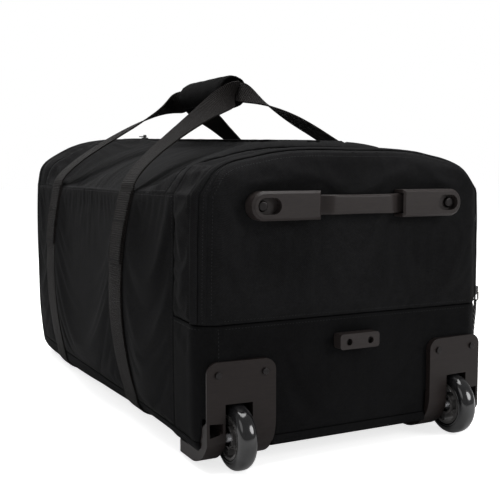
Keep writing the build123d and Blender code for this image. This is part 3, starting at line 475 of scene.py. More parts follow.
def face_away(bm: bmesh.types.BMesh, middle: Vector) -> None:
    """Turn a whole open surface so that it faces away from a point."""
    facing = sum((face.calc_center_median() - middle).dot(face.normal) * face.calc_area() for face in bm.faces)
    if facing < 0:
        bmesh.ops.reverse_faces(bm, faces=bm.faces)


def softened(node: str, name: str, width: float, segments: int = 3, smooth_angle: float = 40.0) -> bpy.types.Object:
    """A copy of a CAD piece with rounded edges.

    Args:
        node: the CAD node.
        name: the new object's name.
        width: the rounding, in millimetres.
        segments: faces across each rounding.
        smooth_angle: edges flatter than this many degrees are shaded smooth.

    Returns:
        The new object, which still has to be ridden on a body.
    """
    bm = bmesh.new()
    bm.from_mesh(bpy.data.objects[node].data)
    bmesh.ops.remove_doubles(bm, verts=bm.verts, dist=1e-6)
    bmesh.ops.dissolve_limit(bm, angle_limit=math.radians(2.0), verts=bm.verts, edges=bm.edges)
    bmesh.ops.dissolve_degenerate(bm, dist=1e-6, edges=bm.edges)
    mesh = bpy.data.meshes.new(name)
    bm.to_mesh(mesh)
    bm.free()
    obj = new_object(name, mesh)
    bevel = obj.modifiers.new("round", "BEVEL")
    bevel.width = width * MM
    bevel.segments = segments
    bevel.limit_method = "ANGLE"
    bevel.angle_limit = math.radians(35.0)
    bevel.use_clamp_overlap = True
    apply_modifiers(obj)
    obj.data.shade_smooth()
    obj.data.set_sharp_from_angle(angle=math.radians(smooth_angle))
    level = obj.modifiers.new("level", "WEIGHTED_NORMAL")
    level.mode = "FACE_AREA"
    level.keep_sharp = True
    apply_modifiers(obj)
    return obj


# ------------------------------------------------------------------ the bag's form


@dataclass(frozen=True)
class Station:
    """The bag's section at one place along it, in millimetres."""

    y: float
    bottom: float
    corner: float
    low_w: float
    mid_w: float
    seam_w: float
    shoulder: tuple[float, float]
    crown: tuple[float, float]
    top: float | None

    def numbers(self) -> list[float]:
        """The section as a flat list, with the top's height from the zip where it has none of its own."""
        top = zip_height(self.y) if self.top is None else self.top
        return [self.bottom, self.corner, self.low_w, self.mid_w, self.seam_w, *self.shoulder, *self.crown, top]


FLAP_FRONT, FLAP_REAR = -268.0, 330.0
BULKHEAD_Y, REAR_SEAM_Y = -294.0, 372.0
FRONT_Y, REAR_Y, ZIP_Y, ZIP_GAP = -383.0, 419.0, -362.0, 6.0
BASE_SEAM_Z, BAND_Z, MID_Z, SEAM_Z = 34.0, 172.0, 180.0, 321.0
STRAPS = (-136.0, 229.0)
FLOOR_GLOW = 0.76
# share of a leg before it starts to twist, by side and by the way that it leans along the bag
TWIST_START = {(-1, 1): 0.0, (1, 1): 0.5, (-1, -1): 0.4, (1, -1): 0.3}
STRAP_W, STRAP_T = 50.0, 2.2
HANDLE_Z = 308.0


def zip_height(y: float) -> float:
    """Height of the straight top zip at y."""
    return 387.5 + (y - FLAP_FRONT) * 0.0335


STATIONS = (
    Station(-383.0, 24.0, 14.0, 183.0, 184.0, 182.0, (167.0, 346.0), (120.0, 359.0), 366.0),
    Station(-376.0, 20.0, 15.0, 195.0, 197.0, 194.0, (177.0, 347.0), (124.0, 364.0), 371.0),
    Station(-362.0, 18.0, 15.0, 205.0, 208.0, 206.0, (181.0, 348.0), (124.0, 366.0), 373.0),
    Station(-294.0, 17.0, 16.0, 203.5, 204.5, 202.0, (182.0, 350.0), (130.0, 369.0), 380.0),
    Station(-286.0, 16.7, 18.0, 203.5, 206.0, 202.5, (181.0, 350.0), (128.0, 372.0), None),
    Station(-268.0, 16.2, 22.0, 203.5, 209.0, 203.0, (180.0, 349.0), (124.0, 374.0), None),
    Station(-136.0, 12.0, 28.0, 203.0, 224.0, 204.0, (172.0, 339.5), (115.0, 368.0), None),
    Station(40.0, 6.5, 28.0, 203.0, 226.0, 204.0, (178.0, 350.0), (115.0, 382.0), None),
    Station(174.0, 2.2, 28.0, 203.0, 222.0, 204.0, (174.0, 342.0), (115.0, 374.0), None),
    Station(254.0, 2.2, 28.0, 203.0, 218.0, 204.0, (174.0, 342.0), (115.0, 376.0), None),
    Station(330.0, 2.2, 28.0, 202.0, 212.0, 204.0, (191.0, 354.0), (143.0, 384.0), None),
    Station(380.0, 2.2, 28.0, 199.0, 207.0, 203.0, (195.0, 354.0), (158.0, 382.0), None),
    Station(404.0, 7.0, 28.0, 189.0, 198.0, 196.0, (187.0, 350.0), (150.0, 374.0), 399.0),
    Station(419.0, 30.0, 28.0, 163.0, 172.0, 170.0, (158.0, 340.0), (110.0, 362.0), 376.0),
)


def gentle_slope(before: float, after: float) -> float:
    """A slope between two others that never makes a curve overshoot."""
    return 0.0 if before * after <= 0 else 2 * before * after / (before + after)


def hermite(a: float, b: float, slope_a: float, slope_b: float, width: float, t: float) -> float:
    """A cubic between two values with given slopes, at the fraction t of the width."""
    t2, t3 = t * t, t * t * t
    return (a * (2 * t3 - 3 * t2 + 1) + b * (3 * t2 - 2 * t3)
            + width * (slope_a * (t3 - 2 * t2 + t) + slope_b * (t3 - t2)))


def smooth_line(points: Sequence[Vector], steps: int) -> list[Vector]:
    """A smooth line through points, with its parameter along their chords.

    Args:
        points: the points to pass through.
        steps: pieces of the line between two points.

    Returns:
        The line's points.
    """
    chords = [(b - a).length for a, b in zip(points, points[1:])]
    slopes = [(b - a) / c for a, b, c in zip(points, points[1:], chords)]
    tangents = [slopes[0]]
    for first, second, c1, c2 in zip(slopes, slopes[1:], chords, chords[1:]):
        tangents.append((first * c2 + second * c1) / (c1 + c2))
    tangents.append(slopes[-1])
    line = []
    for place, chord in enumerate(chords):
        for step in range(steps):
            t = step / steps
            line.append(Vector([
                hermite(points[place][k], points[place + 1][k], tangents[place][k], tangents[place + 1][k], chord, t)
                for k in range(len(points[0]))
            ]))
    return line + [points[-1].copy()]


@dataclass(frozen=True)
class Outline:
    """A line in the plane across the bag, walked by the share of its length."""

    points: tuple[tuple[float, float], ...]
    lengths: tuple[float, ...]

    @classmethod
    def through(cls, points: Sequence[Sequence[float]]) -> "Outline":
        """The outline through points that lie close together."""
        total, lengths = 0.0, [0.0]
        for a, b in zip(points, points[1:]):
            total += math.hypot(b[0] - a[0], b[1] - a[1])
            lengths.append(total)
        return cls(tuple((p[0], p[1]) for p in points), tuple(lengths))

    @property
    def length(self) -> float:
        """The whole length in millimetres."""
        return self.lengths[-1]

    def at(self, share: float) -> tuple[float, float, float, float]:
        """The point and the left-hand normal at a share of the length.

        Args:
            share: from 0 to 1.

        Returns:
            (first coordinate, second coordinate, first of the normal, second of the normal).
        """
        goal = min(max(share, 0.0), 1.0) * self.length
        low, high = 0, len(self.lengths) - 1
        while high - low > 1:
            middle = (low + high) // 2
            if self.lengths[middle] <= goal:
                low = middle
            else:
                high = middle
        a, b = self.points[low], self.points[high]
        span = max(self.lengths[high] - self.lengths[low], 1e-9)
        t = (goal - self.lengths[low]) / span
        dx, dz = (b[0] - a[0]) / span, (b[1] - a[1]) / span
        return a[0] + (b[0] - a[0]) * t, a[1] + (b[1] - a[1]) * t, -dz, dx


class BagForm:
    """The bag's outer form, in millimetres: sections that run smoothly into each other."""

    @staticmethod
    @lru_cache(maxsize=4000)
    def section(y: float) -> tuple[float, ...]:
        """The section's numbers at y."""
        rows = [station.numbers() for station in STATIONS]
        places = [station.y for station in STATIONS]
        y = min(max(y, places[0]), places[-1])
        last = len(places) - 2
        index = max(i for i in range(last + 1) if places[i] <= y or i == 0)
        width = places[index + 1] - places[index]
        t = (y - places[index]) / width
        numbers = []
        for column in range(len(rows[0])):
            values = [row[column] for row in rows]
            slope = (values[index + 1] - values[index]) / width
            before = after = slope
            if index > 0:
                before = (values[index] - values[index - 1]) / (places[index] - places[index - 1])
            if index < last:
                after = (values[index + 2] - values[index + 1]) / (places[index + 2] - places[index + 1])
            numbers.append(hermite(values[index], values[index + 1], gentle_slope(before, slope),
                                   gentle_slope(slope, after), width, t))
        return tuple(numbers)

    @staticmethod
    @lru_cache(maxsize=4000)
    def side_circle(y: float) -> tuple[float, float, float]:
        """Centre x, centre z and radius of the arc that makes the bag's side at y."""
        bottom, corner, low_w, mid_w, seam_w = BagForm.section(y)[:5]
        (ax, az), (bx, bz), (cx, cz) = (seam_w, SEAM_Z), (mid_w, MID_Z), (low_w, bottom + corner)
        d = 2 * (ax * (bz - cz) + bx * (cz - az) + cx * (az - bz))
        a2, b2, c2 = ax * ax + az * az, bx * bx + bz * bz, cx * cx + cz * cz
        ux = (a2 * (bz - cz) + b2 * (cz - az) + c2 * (az - bz)) / d
        uz = (a2 * (cx - bx) + b2 * (ax - cx) + c2 * (bx - ax)) / d
        return ux, uz, math.hypot(ax - ux, az - uz)

    @classmethod
    def side_x(cls, y: float, z: float) -> float:
        """Half the bag's width at y and z, from its bottom corner up to its seam."""
        bottom, corner, low_w = cls.section(y)[:3]
        if z < bottom + corner:
            rise = min(bottom + corner - z, corner)
            return low_w - corner + math.sqrt(corner * corner - rise * rise)
        ux, uz, radius = cls.side_circle(y)
        reach = math.sqrt(max(radius * radius - (z - uz) ** 2, 0.0))
        return ux + reach if ux < 0 or radius < 300 else ux - reach

    @classmethod
    @lru_cache(maxsize=4000)
    def crown(cls, y: float) -> tuple[tuple[float, float], ...]:
        """Points of the top from the left seam over to the right one."""
        numbers = cls.section(y)
        right = [(numbers[4], SEAM_Z), (numbers[5], numbers[6]), (numbers[7], numbers[8])]
        line = [Vector((-x, z)) for x, z in right] + [Vector((0.0, numbers[9]))]
        line += [Vector(p) for p in reversed(right)]
        return tuple((p.x, p.y) for p in smooth_line(line, 8))

    @classmethod
    @lru_cache(maxsize=4000)
    def arch(cls, y: float, low_z: float) -> Outline:
        """Over the bag, from low_z on the left to low_z on the right."""
        rise = [low_z + (SEAM_Z - low_z) * k / 14 for k in range(14)] if low_z < SEAM_Z - 0.5 else []
        left = [(-cls.side_x(y, z), z) for z in rise]
        return Outline.through([*left, *cls.crown(y), *[(-x, z) for x, z in reversed(left)]])

    @classmethod
    @lru_cache(maxsize=4000)
    def hoop(cls, y: float, high_z: float) -> Outline:
        """Under the bag, from high_z on the right to high_z on the left."""
        bottom, corner, low_w = cls.section(y)[:3]
        straight = max(high_z - bottom - corner, 0.0)
        right = [(cls.side_x(y, high_z - straight * k / 16), high_z - straight * k / 16) for k in range(16)]
        if straight <= 0:
            right = []
        first = 0.0 if straight > 0 else math.asin(min((bottom + corner - high_z) / corner, 1.0))
        for k in range(9):
            turn = first + (math.pi / 2 - first) * k / 8
            right.append((low_w - corner + corner * math.cos(turn), bottom + corner - corner * math.sin(turn)))
        flat = [(right[-1][0] * (1 - k / 10), bottom) for k in range(1, 11)]
        half = right + flat
        return Outline.through(half + [(-x, z) for x, z in reversed(half[:-1])])


def on_outline(outline: Outline, share: float, y: float, lift: float = 0.0) -> Vector:
    """The point of an outline at y, moved off the bag by lift."""
    x, z, nx, nz = outline.at(share)
    return Vector((x + nx * lift, y, z + nz * lift))


# ------------------------------------------------------------------ cloth


@dataclass(frozen=True)
class Fold:
    """One soft fold of a panel, along a line in the panel's own two coordinates."""

    start: tuple[float, float]
    end: tuple[float, float]
    width: float
    height: float

    def at(self, a: float, b: float) -> float:
        """How far the fold lifts the cloth at (a, b)."""
        dx, dy = self.end[0] - self.start[0], self.end[1] - self.start[1]
        span = dx * dx + dy * dy
        t = ((a - self.start[0]) * dx + (b - self.start[1]) * dy) / span
        fade = math.exp(-((max(-t, t - 1.0, 0.0)) ** 2) * 24) * math.sin(math.pi * min(max(t, 0.06), 0.94)) ** 0.5
        off = ((a - self.start[0]) * dy - (b - self.start[1]) * dx) / math.sqrt(span) / self.width
        return self.height * fade * (1 - 0.9 * off * off) * math.exp(-off * off)


def slack(a: float, b: float, size: tuple[float, float], seed: float) -> float:
    """Uneven slack of woven cloth, from -1 to 1, with the given size of its waves along a and b."""
    return noise.noise(Vector((a / size[0] + seed, b / size[1] - seed, seed * 1.7)))


def puckers(distance: float, along: float, pitch: float, reach: float, seed: float) -> float:
    """Short gathers that stand square to a seam and die away from it, from -1 to 1."""
    wave = noise.noise(Vector((along / pitch + seed, distance / (reach * 1.6), seed)))
    return wave * math.exp(-(distance / reach) ** 2) * min(distance / 5.0, 1.0)


@dataclass
class Panel:
    """One sewn panel: a grid bent to the bag's form, slackened, and sewn down at its edges."""

    name: str
    size: tuple[float, float]
    place: Callable[[float, float, float], Vector]
    relief: Callable[[float, float], float] = lambda a, b: 0.0
    pitch: float = 5.0
    thickness: float = 2.0
    roll: float = 1.8
    roll_width: float = 3.0
    pins: Callable[[float, float], float] | None = None
    pressure: float = 0.6
    growth: float = 0.012
    simulate: bool = True
    keep: Callable[[Vector], bool] | None = None
    finish: str = "cloth"
    lining: str = "lining"
    inside: tuple[float, float, float] = (0.0, 0.0, 200.0)

    def edge(self, s: float, t: float) -> float:
        """Distance in millimetres from the panel's nearest edge."""
        return min(s, 1 - s) * self.size[0] if min(s, 1 - s) * self.size[0] < min(t, 1 - t) * self.size[1] else min(
            t, 1 - t) * self.size[1]

    def point(self, s: float, t: float) -> Vector:
        """The cloth's place at (s, t), with its relief and its rolled edge."""
        gap = self.edge(s, t)
        sink = self.roll * math.exp(-(gap / self.roll_width) ** 2)
        settle = 1 - math.exp(-(gap / 14.0) ** 2)
        return self.place(s, t, self.relief(s * self.size[0], t * self.size[1]) * settle - sink)

    def spread(self, count: int, length: float, share: float) -> float:
        """Moves the outermost grid lines towards an edge, so that it rolls in smoothly."""
        step = 1.0 / count
        if share < 1.5 * step:
            return share * 0.42
        if share > 1 - 1.5 * step:
            return 1 - (1 - share) * 0.42
        return share

    def build(self) -> bpy.types.Object:
        """Make the grid, with its pins for the cloth simulation."""
        columns = max(4, round(self.size[0] / self.pitch))
        rows = max(4, round(self.size[1] / self.pitch))
        def place(s: float, t: float) -> Vector:
            """The point, with the outermost lines close to the edge."""
            return self.point(self.spread(columns, self.size[0], s), self.spread(rows, self.size[1], t))

        bm = shaped_grid(columns, rows, place, lambda s, t: (s * self.size[0] * MM, t * self.size[1] * MM))
        if self.keep is not None:
            gone = [face for face in bm.faces if not self.keep(face.calc_center_median())]
            bmesh.ops.delete(bm, geom=gone, context="FACES")
        face_away(bm, Vector(self.inside))
        obj = finish_mesh(bm, self.name)
        pins = obj.vertex_groups.new(name="sewn")
        uv = obj.data.uv_layers[0].data
        boundary = {v for e in self.open_edges(obj.data) for v in e}
        done: dict[int, float] = {}
        for loop in obj.data.loops:
            if loop.vertex_index in done:
                continue
            a, b = uv[loop.index].uv[0] / MM, uv[loop.index].uv[1] / MM
            gap = min(a, self.size[0] - a, b, self.size[1] - b)
            weight = 1.0 if loop.vertex_index in boundary else max(0.0, 1.0 - gap / 10.0)
            if self.pins is not None:
                weight = max(weight, self.pins(a, b))
            done[loop.vertex_index] = weight
        for vertex, weight in done.items():
            pins.add([vertex], min(weight, 1.0), "REPLACE")
        return obj

    @staticmethod
    def open_edges(mesh: bpy.types.Mesh) -> Iterable[tuple[int, int]]:
        """The edges with a face on one side only."""
        used: dict[tuple[int, int], int] = {}
        for polygon in mesh.polygons:
            for key in polygon.edge_keys:
                used[key] = used.get(key, 0) + 1
        return [key for key, count in used.items() if count == 1]

    def add_cloth(self, obj: bpy.types.Object) -> None:
        """Give the panel its cloth simulation, sewn down at its pins and a little too big for its place."""
        cloth = obj.modifiers.new("cloth", "CLOTH")
        settings = cloth.settings
        settings.quality = 5
        settings.mass = 0.35
        settings.tension_stiffness = 25
        settings.compression_stiffness = 25
        settings.shear_stiffness = 8
        settings.bending_stiffness = 1.2
        settings.air_damping = 3.0
        settings.vertex_group_mass = "sewn"
        settings.pin_stiffness = 1.0
        settings.use_pressure = True
        settings.uniform_pressure_force = self.pressure
        settings.shrink_min = -self.growth
        settings.effector_weights.gravity = 0.25
        cloth.collision_settings.use_collision = False

    def thicken(self, obj: bpy.types.Object, wardrobe: Wardrobe) -> None:
        """Give the cloth its thickness and its lining, and its finish on both."""
        obj.data.materials.clear()
        obj.data.materials.append(wardrobe.get(self.finish))
        obj.data.materials.append(wardrobe.get(self.lining))
        wall = obj.modifiers.new("thickness", "SOLIDIFY")
        wall.thickness = self.thickness * MM
        wall.offset = -1.0
        wall.use_even_offset = False
        wall.material_offset = 1
        wall.material_offset_rim = 0
        apply_modifiers(obj)
        obj.data.shade_smooth()


def simulate(panels: Sequence[tuple[Panel, bpy.types.Object]], frames: int, limit: float) -> None:
    """Let all panels settle at once, and keep each point near its place.

    Args:
        panels: each panel with its object.
        frames: how many frames to run.
        limit: the furthest a point may move, in millimetres.
    """
    before = {obj.name: [v.co.copy() for v in obj.data.vertices] for _, obj in panels}
    for panel, obj in panels:
        panel.add_cloth(obj)
    scene = bpy.context.scene
    scene.frame_start, scene.frame_end = 1, frames
    for frame in range(1, frames + 1):
        scene.frame_set(frame)
    for _, obj in panels:
        apply_modifiers(obj)
        far = 0.0
        for vertex, home in zip(obj.data.vertices, before[obj.name]):
            shift = vertex.co - home
            reach = shift.length
            far = max(far, reach)
            if reach > limit * MM:
                vertex.co = home + shift * (limit * MM * (2 - limit * MM / reach) / reach)
        log.info("settled %s, moved up to %.1f mm", obj.name, far / MM)
    scene.frame_set(1)


# ------------------------------------------------------------------ the fabric body


@dataclass
class FabricBody:
    """All the sewn panels of the bag, and the boards' cloth cover inside."""

    form: type[BagForm] = BagForm
    seam_gap: float = 0.4
    strap_ease: float = 8.0
    frames: int = 22
    limit: float = 7.0
    edge_y: float = -376.5
    pieces: list[tuple[Panel, str, tuple[str, ...]]] = field(default_factory=list)
    made: dict[str, bpy.types.Object] = field(default_factory=dict)

    # ---- helpers

    def strap_hold(self, y: float) -> float:
        """1 where a strap presses the cloth at y, falling to 0 beside it."""
        hold = 0.0
        for strap in STRAPS:
            off = max(abs(y - strap) - STRAP_W / 2, 0.0)
            hold = max(hold, math.exp(-(off / self.strap_ease) ** 2))
        return hold

    def add(self, panel: Panel, body: str, *nodes: str) -> None:
        """Remember a panel, the body it rides on and the CAD nodes it stands for."""
        self.pieces.append((panel, body, nodes))

    # ---- panels

    def side_panel(self, side: Side) -> None:
        """The big panel of one side, between the base seam and the top seam."""
        sign = side.value
        length, height = REAR_SEAM_Y - BULKHEAD_Y, SEAM_Z - BASE_SEAM_Z - self.seam_gap
        folds = (
            Fold((20, 282), (150, 205), 16, 2.6), Fold((10, 250), (128, 150), 20, 2.2),
            Fold((188, 200), (310, 262), 24, 2.4), Fold((190, 140), (330, 205), 26, 2.6),
            Fold((195, 90), (380, 40), 24, 2.4), Fold((350, 250), (490, 190), 22, 2.2),
            Fold((400, 130), (490, 215), 24, 2.2), Fold((560, 262), (655, 190), 18, 2.0),
            Fold((560, 60), (650, 150), 22, 2.0), Fold((24, 60), (120, 120), 22, 2.0),
            Fold((300, 20), (470, 70), 20, 2.2), Fold((10, 200), (60, 20), 12, 1.8),
        )

        def relief(a: float, b: float) -> float:
            """Slack between the straps, folds that fan out from their tops, and gathers along the seams."""
            y = BULKHEAD_Y + a
            free = 1 - self.strap_hold(y)
            lift = 1.6 * slack(a, b, (85.0, 120.0), 3.1) + 0.6 * slack(a + b * 0.7, b - a * 0.4, (38.0, 70.0), 7.7)
            lift += 0.6 * sum(fold.at(a, b) for fold in folds)
            drop = height - b
            lift += 0.8 * slack(a + 0.45 * drop, drop, (9.5, 120.0), 4.4) * math.exp(-(drop / 90.0) ** 2)
            lift += 1.6 * puckers(a, b, 11.0, 20.0, 1.3) + 1.4 * puckers(height - b, a, 14.0, 16.0, 5.9)
            lift += 1.1 * puckers(b, a, 16.0, 16.0, 2.9) + 1.2 * puckers(length - a, b, 13.0, 18.0, 8.3)
            return lift * free + 0.6 - 1.0 * (1 - free)

        def place(s: float, t: float, lift: float) -> Vector:
            """A point of the side, off the form by lift."""
            y, z = BULKHEAD_Y + s * length, BASE_SEAM_Z + t * height
            return Vector((sign * (self.form.side_x(y, z) + lift), y, z))

        self.add(
            Panel(f"{side.word}_side_cloth", (length, height), place, relief, 4.6,
                  pins=lambda a, b: 1.2 * self.strap_hold(BULKHEAD_Y + a) ** 2),
            "root", f"{side.word}_side_panel",
        )

    def over_panel(
        self, name: str, body: str, y_low: float, y_high: float, x_range: tuple[float, float] | None,
        nodes: tuple[str, ...], seed: float, **more: object,
    ) -> None:
        """A panel of the bag's top, from its seam to the zip or right over from seam to seam.

        Args:
            name: the piece's name.
            body: the body that it rides on.
            y_low: where it starts along the bag.
            y_high: where it ends along the bag.
            x_range: shares of the way over the bag, or None for all of it.
            nodes: the CAD nodes that it stands for.
            seed: makes its slack its own.
            more: further fields of the panel.
        """
        low, high = x_range or (0.0, 1.0)
        over = self.form.arch(0.5 * (y_low + y_high), SEAM_Z).length * (high - low)
        length = y_high - y_low

        def relief(a: float, b: float) -> float:
            """Slack of the top, drawn towards the straps' tops at the seam."""
            lift = 1.6 * slack(a, b, (70.0, 95.0), seed) + 1.5 * slack(a - b * 0.18, b, (10.5, 130.0), seed + 4)
            for strap in STRAPS:
                fan = math.atan2(b + 30.0, abs(y_low + a - strap) + 1.0)
                near = math.exp(-((b + 10) / 95.0) ** 2) * math.exp(-(((y_low + a - strap)) / 130.0) ** 2)
                lift += 2.4 * near * math.sin(fan * 15 + seed)
            return lift + 1.1 * puckers(b, a, 12.0, 18.0, seed + 9) + 0.5

        def place(s: float, t: float, lift: float) -> Vector:
            """A point of the top, off the form by lift."""
            y = y_low + s * length
            share = low + (high - low) * t
            return on_outline(self.form.arch(y, SEAM_Z), share, y, lift)

        self.add(Panel(name, (length, over), place, relief, 5.0, **more), body, *nodes)

    def top_panels(self) -> None:
        """The two opening halves of the top and the fixed caps at both ends of the zip."""
        for side in Side:
            edge = 7.0 / self.form.arch(0.0, SEAM_Z).length
            left = side is Side.LEFT
            self.over_panel(
                f"{side.word}_top_cloth", f"{side.word}_flap", FLAP_FRONT + 0.2, FLAP_REAR - 0.2,
                (0.0, 0.5 - edge) if left else (1.0, 0.5 + edge), (f"{side.word}_top_panel",),
                2.2 if left else 6.4,
            )
        self.over_panel("front_top_cloth", "root", BULKHEAD_Y + 0.3, FLAP_FRONT - self.seam_gap, None,
                        ("front_top_cap",), 11.0, keep=lambda p: abs(p.x) > 7.0 or p.y < -286.0)
        self.over_panel("rear_top_cloth", "root", FLAP_REAR + self.seam_gap, REAR_SEAM_Y - 0.3, None,
                        ("rear_top_cap",), 12.5, keep=lambda p: abs(p.x) > 7.0 or p.y > 364.0)

    def rear_end(self) -> None:
        """The rounded far end, from its seam to the flat middle."""
        around = self.form.arch(REAR_SEAM_Y, SEAM_Z).length + self.form.hoop(REAR_SEAM_Y, SEAM_Z).length
        steps = [REAR_SEAM_Y + 0.3, 376.0, 381.0, 386.0, 391.0, 396.0, 401.0, 406.0, 410.0, 413.5, 416.0, 418.0, REAR_Y]
        shrink = [1.0, 0.985, 0.95, 0.9, 0.83, 0.74, 0.63, 0.51, 0.38, 0.25, 0.12, 0.0]
        middle = Vector((0.0, 0.0, 196.0))

        @lru_cache(maxsize=None)
        def loop(y: float) -> Outline:
            """The whole outline round the bag at y."""
            over, under = self.form.arch(y, SEAM_Z).points, self.form.hoop(y, SEAM_Z).points
            return Outline.through([*over, *under[1:]])

        count = len(steps) + len(shrink) - 1

        def place(s: float, t: float, lift: float) -> Vector:
            """A point of the end: out along the side first, then in towards the middle."""
            step = t * count
            if step <= len(steps) - 1:
                index = min(int(step), len(steps) - 2)
                y = steps[index] + (steps[index + 1] - steps[index]) * (step - index)
                return on_outline(loop(round(y, 3)), s, y, lift)
            step -= len(steps) - 1
            index = min(int(step), len(shrink) - 2)
            scale = shrink[index] + (shrink[index + 1] - shrink[index]) * (step - index)
            x, z, _, _ = loop(REAR_Y).at(s)
            crown = 5.0 * (1 - scale * scale)
            return Vector((x * scale, REAR_Y + lift + crown, middle.z + (z - middle.z) * scale))

        def relief(a: float, b: float) -> float:
            """Gentle slack of the far end."""
            turn = 2 * math.pi * a / around
            return 1.8 * noise.noise(Vector((2.2 * math.cos(turn), 2.2 * math.sin(turn), b / 60.0)))

        panel = Panel("rear_end_cloth", (around, 250.0), place, relief, 6.5, simulate=False)
        panel.edge = lambda s, t: t * 250.0
        self.add(panel, "root", "rear_end_panel")

    def gusset(self) -> None:
        """The pocket's fixed band of cloth, arched over the bag behind the pocket's zip."""
        y_low, y_high = ZIP_Y + ZIP_GAP + 0.2, BULKHEAD_Y - 0.3
        over = self.form.arch(-325.0, BAND_Z).length
        length = y_high - y_low

        def relief(a: float, b: float) -> float:
            """Gathers that run in from the zip and from the rear seam."""
            lift = 1.6 * slack(a, b, (30.0, 46.0), 14.0) + 1.2 * slack(a - 0.5 * b, b, (26.0, 26.0), 18.0)
            lift += 2.2 * puckers(a, b, 12.0, 16.0, 21.0) + 3.0 * puckers(length - a, b, 15.0, 22.0, 25.0)
            return lift + 2.4 * math.sin(math.pi * a / length) - 0.8 * math.exp(-(a / 7.0) ** 2)

        def place(s: float, t: float, lift: float) -> Vector:
            """A point of the band."""
            y = y_low + s * length
            return on_outline(self.form.arch(y, BAND_Z + 0.4), t, y, lift)

        self.add(Panel("pocket_gusset_cloth", (length, over), place, relief, 3.6, growth=0.02, roll=3.0,
                       roll_width=4.0), "root", "pocket_gusset")

    def pocket_front(self) -> None:
        """The pocket's opening panel: its flat face, and the rim of cloth that runs round it to the zip."""
        low = BAND_Z + 0.6
        wide, high = 392.0, 200.0
        creases = (
            Fold((60, 190), (150, 176), 10, 1.8), Fold((20, 60), (120, 20), 16, 1.6),
            Fold((250, 90), (370, 60), 16, 1.8), Fold((150, 120), (260, 60), 22, 1.4),
            Fold((300, 186), (372, 150), 10, 1.6), Fold((14, 150), (60, 90), 12, 1.6),
        )

        def relief(a: float, b: float) -> float:
            """A slight pillow with soft hollows, held flat by the handle's blocks."""
            x, z = a - wide / 2, low + b
            lift = 3.0 + 3.0 * slack(a, b, (120.0, 70.0), 31.0) + 1.5 * slack(a + 0.4 * b, b, (60.0, 30.0), 36.0)
            lift += sum(fold.at(a, b) for fold in creases)
            lift += 0.9 * puckers(b, a, 16.0, 14.0, 41.0) + 0.8 * puckers(min(a, wide - a), b, 14.0, 14.0, 44.0)
            block = max(abs(abs(x) - 104.0) - 46.0, abs(z - HANDLE_Z) - 17.0, 0.0)
            hold = math.exp(-(block / 12.0) ** 2)
            return lift * (1 - hold) - 0.2 * hold

        def place(s: float, t: float, lift: float) -> Vector:
            """A point of the face."""
            x = (2 * s - 1)
            top = self.face_top(x * self.form.section(self.edge_y)[4])
            z = low + t * (top - low)
            half = self.form.side_x(self.edge_y, min(z, SEAM_Z))
            near = min((1 - abs(x)) * half, top - z)
            back = (self.edge_y - FRONT_Y) * max(1 - near / 15.0, 0.0) ** 2.2
            return Vector((x * half, FRONT_Y - lift + back, z))

        def pins(a: float, b: float) -> float:
            """Sewn down under the handle's blocks."""
            x, z = a - wide / 2, low + b
            block = max(abs(abs(x) - 104.0) - 48.0, abs(z - HANDLE_Z) - 19.0, 0.0)
            return 1.3 * math.exp(-(block / 9.0) ** 2)

        self.add(Panel("pocket_face_cloth", (wide, high), place, relief, 4.0, pins=pins, pressure=0.5, roll=1.2,
                       growth=0.008),
                 "end_flap", "pocket_panel")
        y_high = ZIP_Y - ZIP_GAP - 0.2
        over = self.form.arch(-372.0, low).length
        depth = 13.0

        def rim_place(s: float, t: float, lift: float) -> Vector:
            """A point of the rim, which rounds the corner from the face back to the zip."""
            y = self.edge_y + (y_high - self.edge_y) * s
            x, z, nx, nz = self.form.arch(y, low).at(t)
            forward = 0.4 * (1 - s)
            return Vector((x + nx * lift, y - lift * forward, z + nz * lift))

        def rim_relief(a: float, b: float) -> float:
            """Small gathers round the rim."""
            return 0.9 * slack(a, b, (16.0, 22.0), 51.0) + 1.0 * puckers(depth - a, b, 14.0, 12.0, 55.0) + 2.8

        self.add(Panel("pocket_rim_cloth", (depth, over), rim_place, rim_relief, 3.4, simulate=False, roll=1.0,
                       roll_width=2.0), "end_flap")

    def face_top(self, x: float) -> float:
        """Height of the top edge of the pocket's face at x."""
        points = self.form.crown(self.edge_y)
        for (ax, az), (bx, bz) in zip(points, points[1:]):
            if ax <= x <= bx:
                return az + (bz - az) * (x - ax) / max(bx - ax, 1e-6)
        return SEAM_Z

    def base_band(self) -> None:
        """The lower band round the wheel end, cut away where the wheel housings stand."""
        low, high = BASE_SEAM_Z + 0.2, BAND_Z - 0.4
        plan = Outline.through(self.plan_points())

        def relief(a: float, b: float) -> float:
            """A band pulled nearly flat over its board, with gathers under the end seam."""
            front = math.exp(-((a - plan.length / 2) / 200.0) ** 4)
            lift = (1.0 + 0.8 * (1 - front)) * slack(a, b, (70.0, 50.0), 61.0)
            return lift + 0.9 * puckers(high - low - b, a, 15.0, 12.0, 65.0) + 0.3

        def place(s: float, t: float, lift: float) -> Vector:
            """A point of the band, walked round the bag in plan."""
            z = low + t * (high - low)
            x, y, nx, ny = plan.at(s)
            narrow = self.form.side_x(max(y, FRONT_Y), z) / self.form.side_x(max(y, FRONT_Y), 100.0)
            return Vector((x * narrow - nx * lift, y - ny * lift, z))

        def keep(p: Vector) -> bool:
            """Whether a place is clear of the wheel housings' openings."""
            housing = 113.0 < abs(p.x) < 200.3 and p.y < -306.0 and p.z < 62.0
            well = 139.5 < abs(p.x) < 180.5 and p.y < -325.0 and p.z < 88.0
            return not (housing or well)

        self.add(Panel("base_band_cloth", (plan.length, high - low), place, relief, 4.2, keep=keep,
                       finish="band_cloth", pressure=0.3, growth=0.006,
                       pins=lambda a, b: 1.0 if abs(a - plan.length / 2) > 100 and b < 100 else 0.0),
                 "root", "front_base_band")

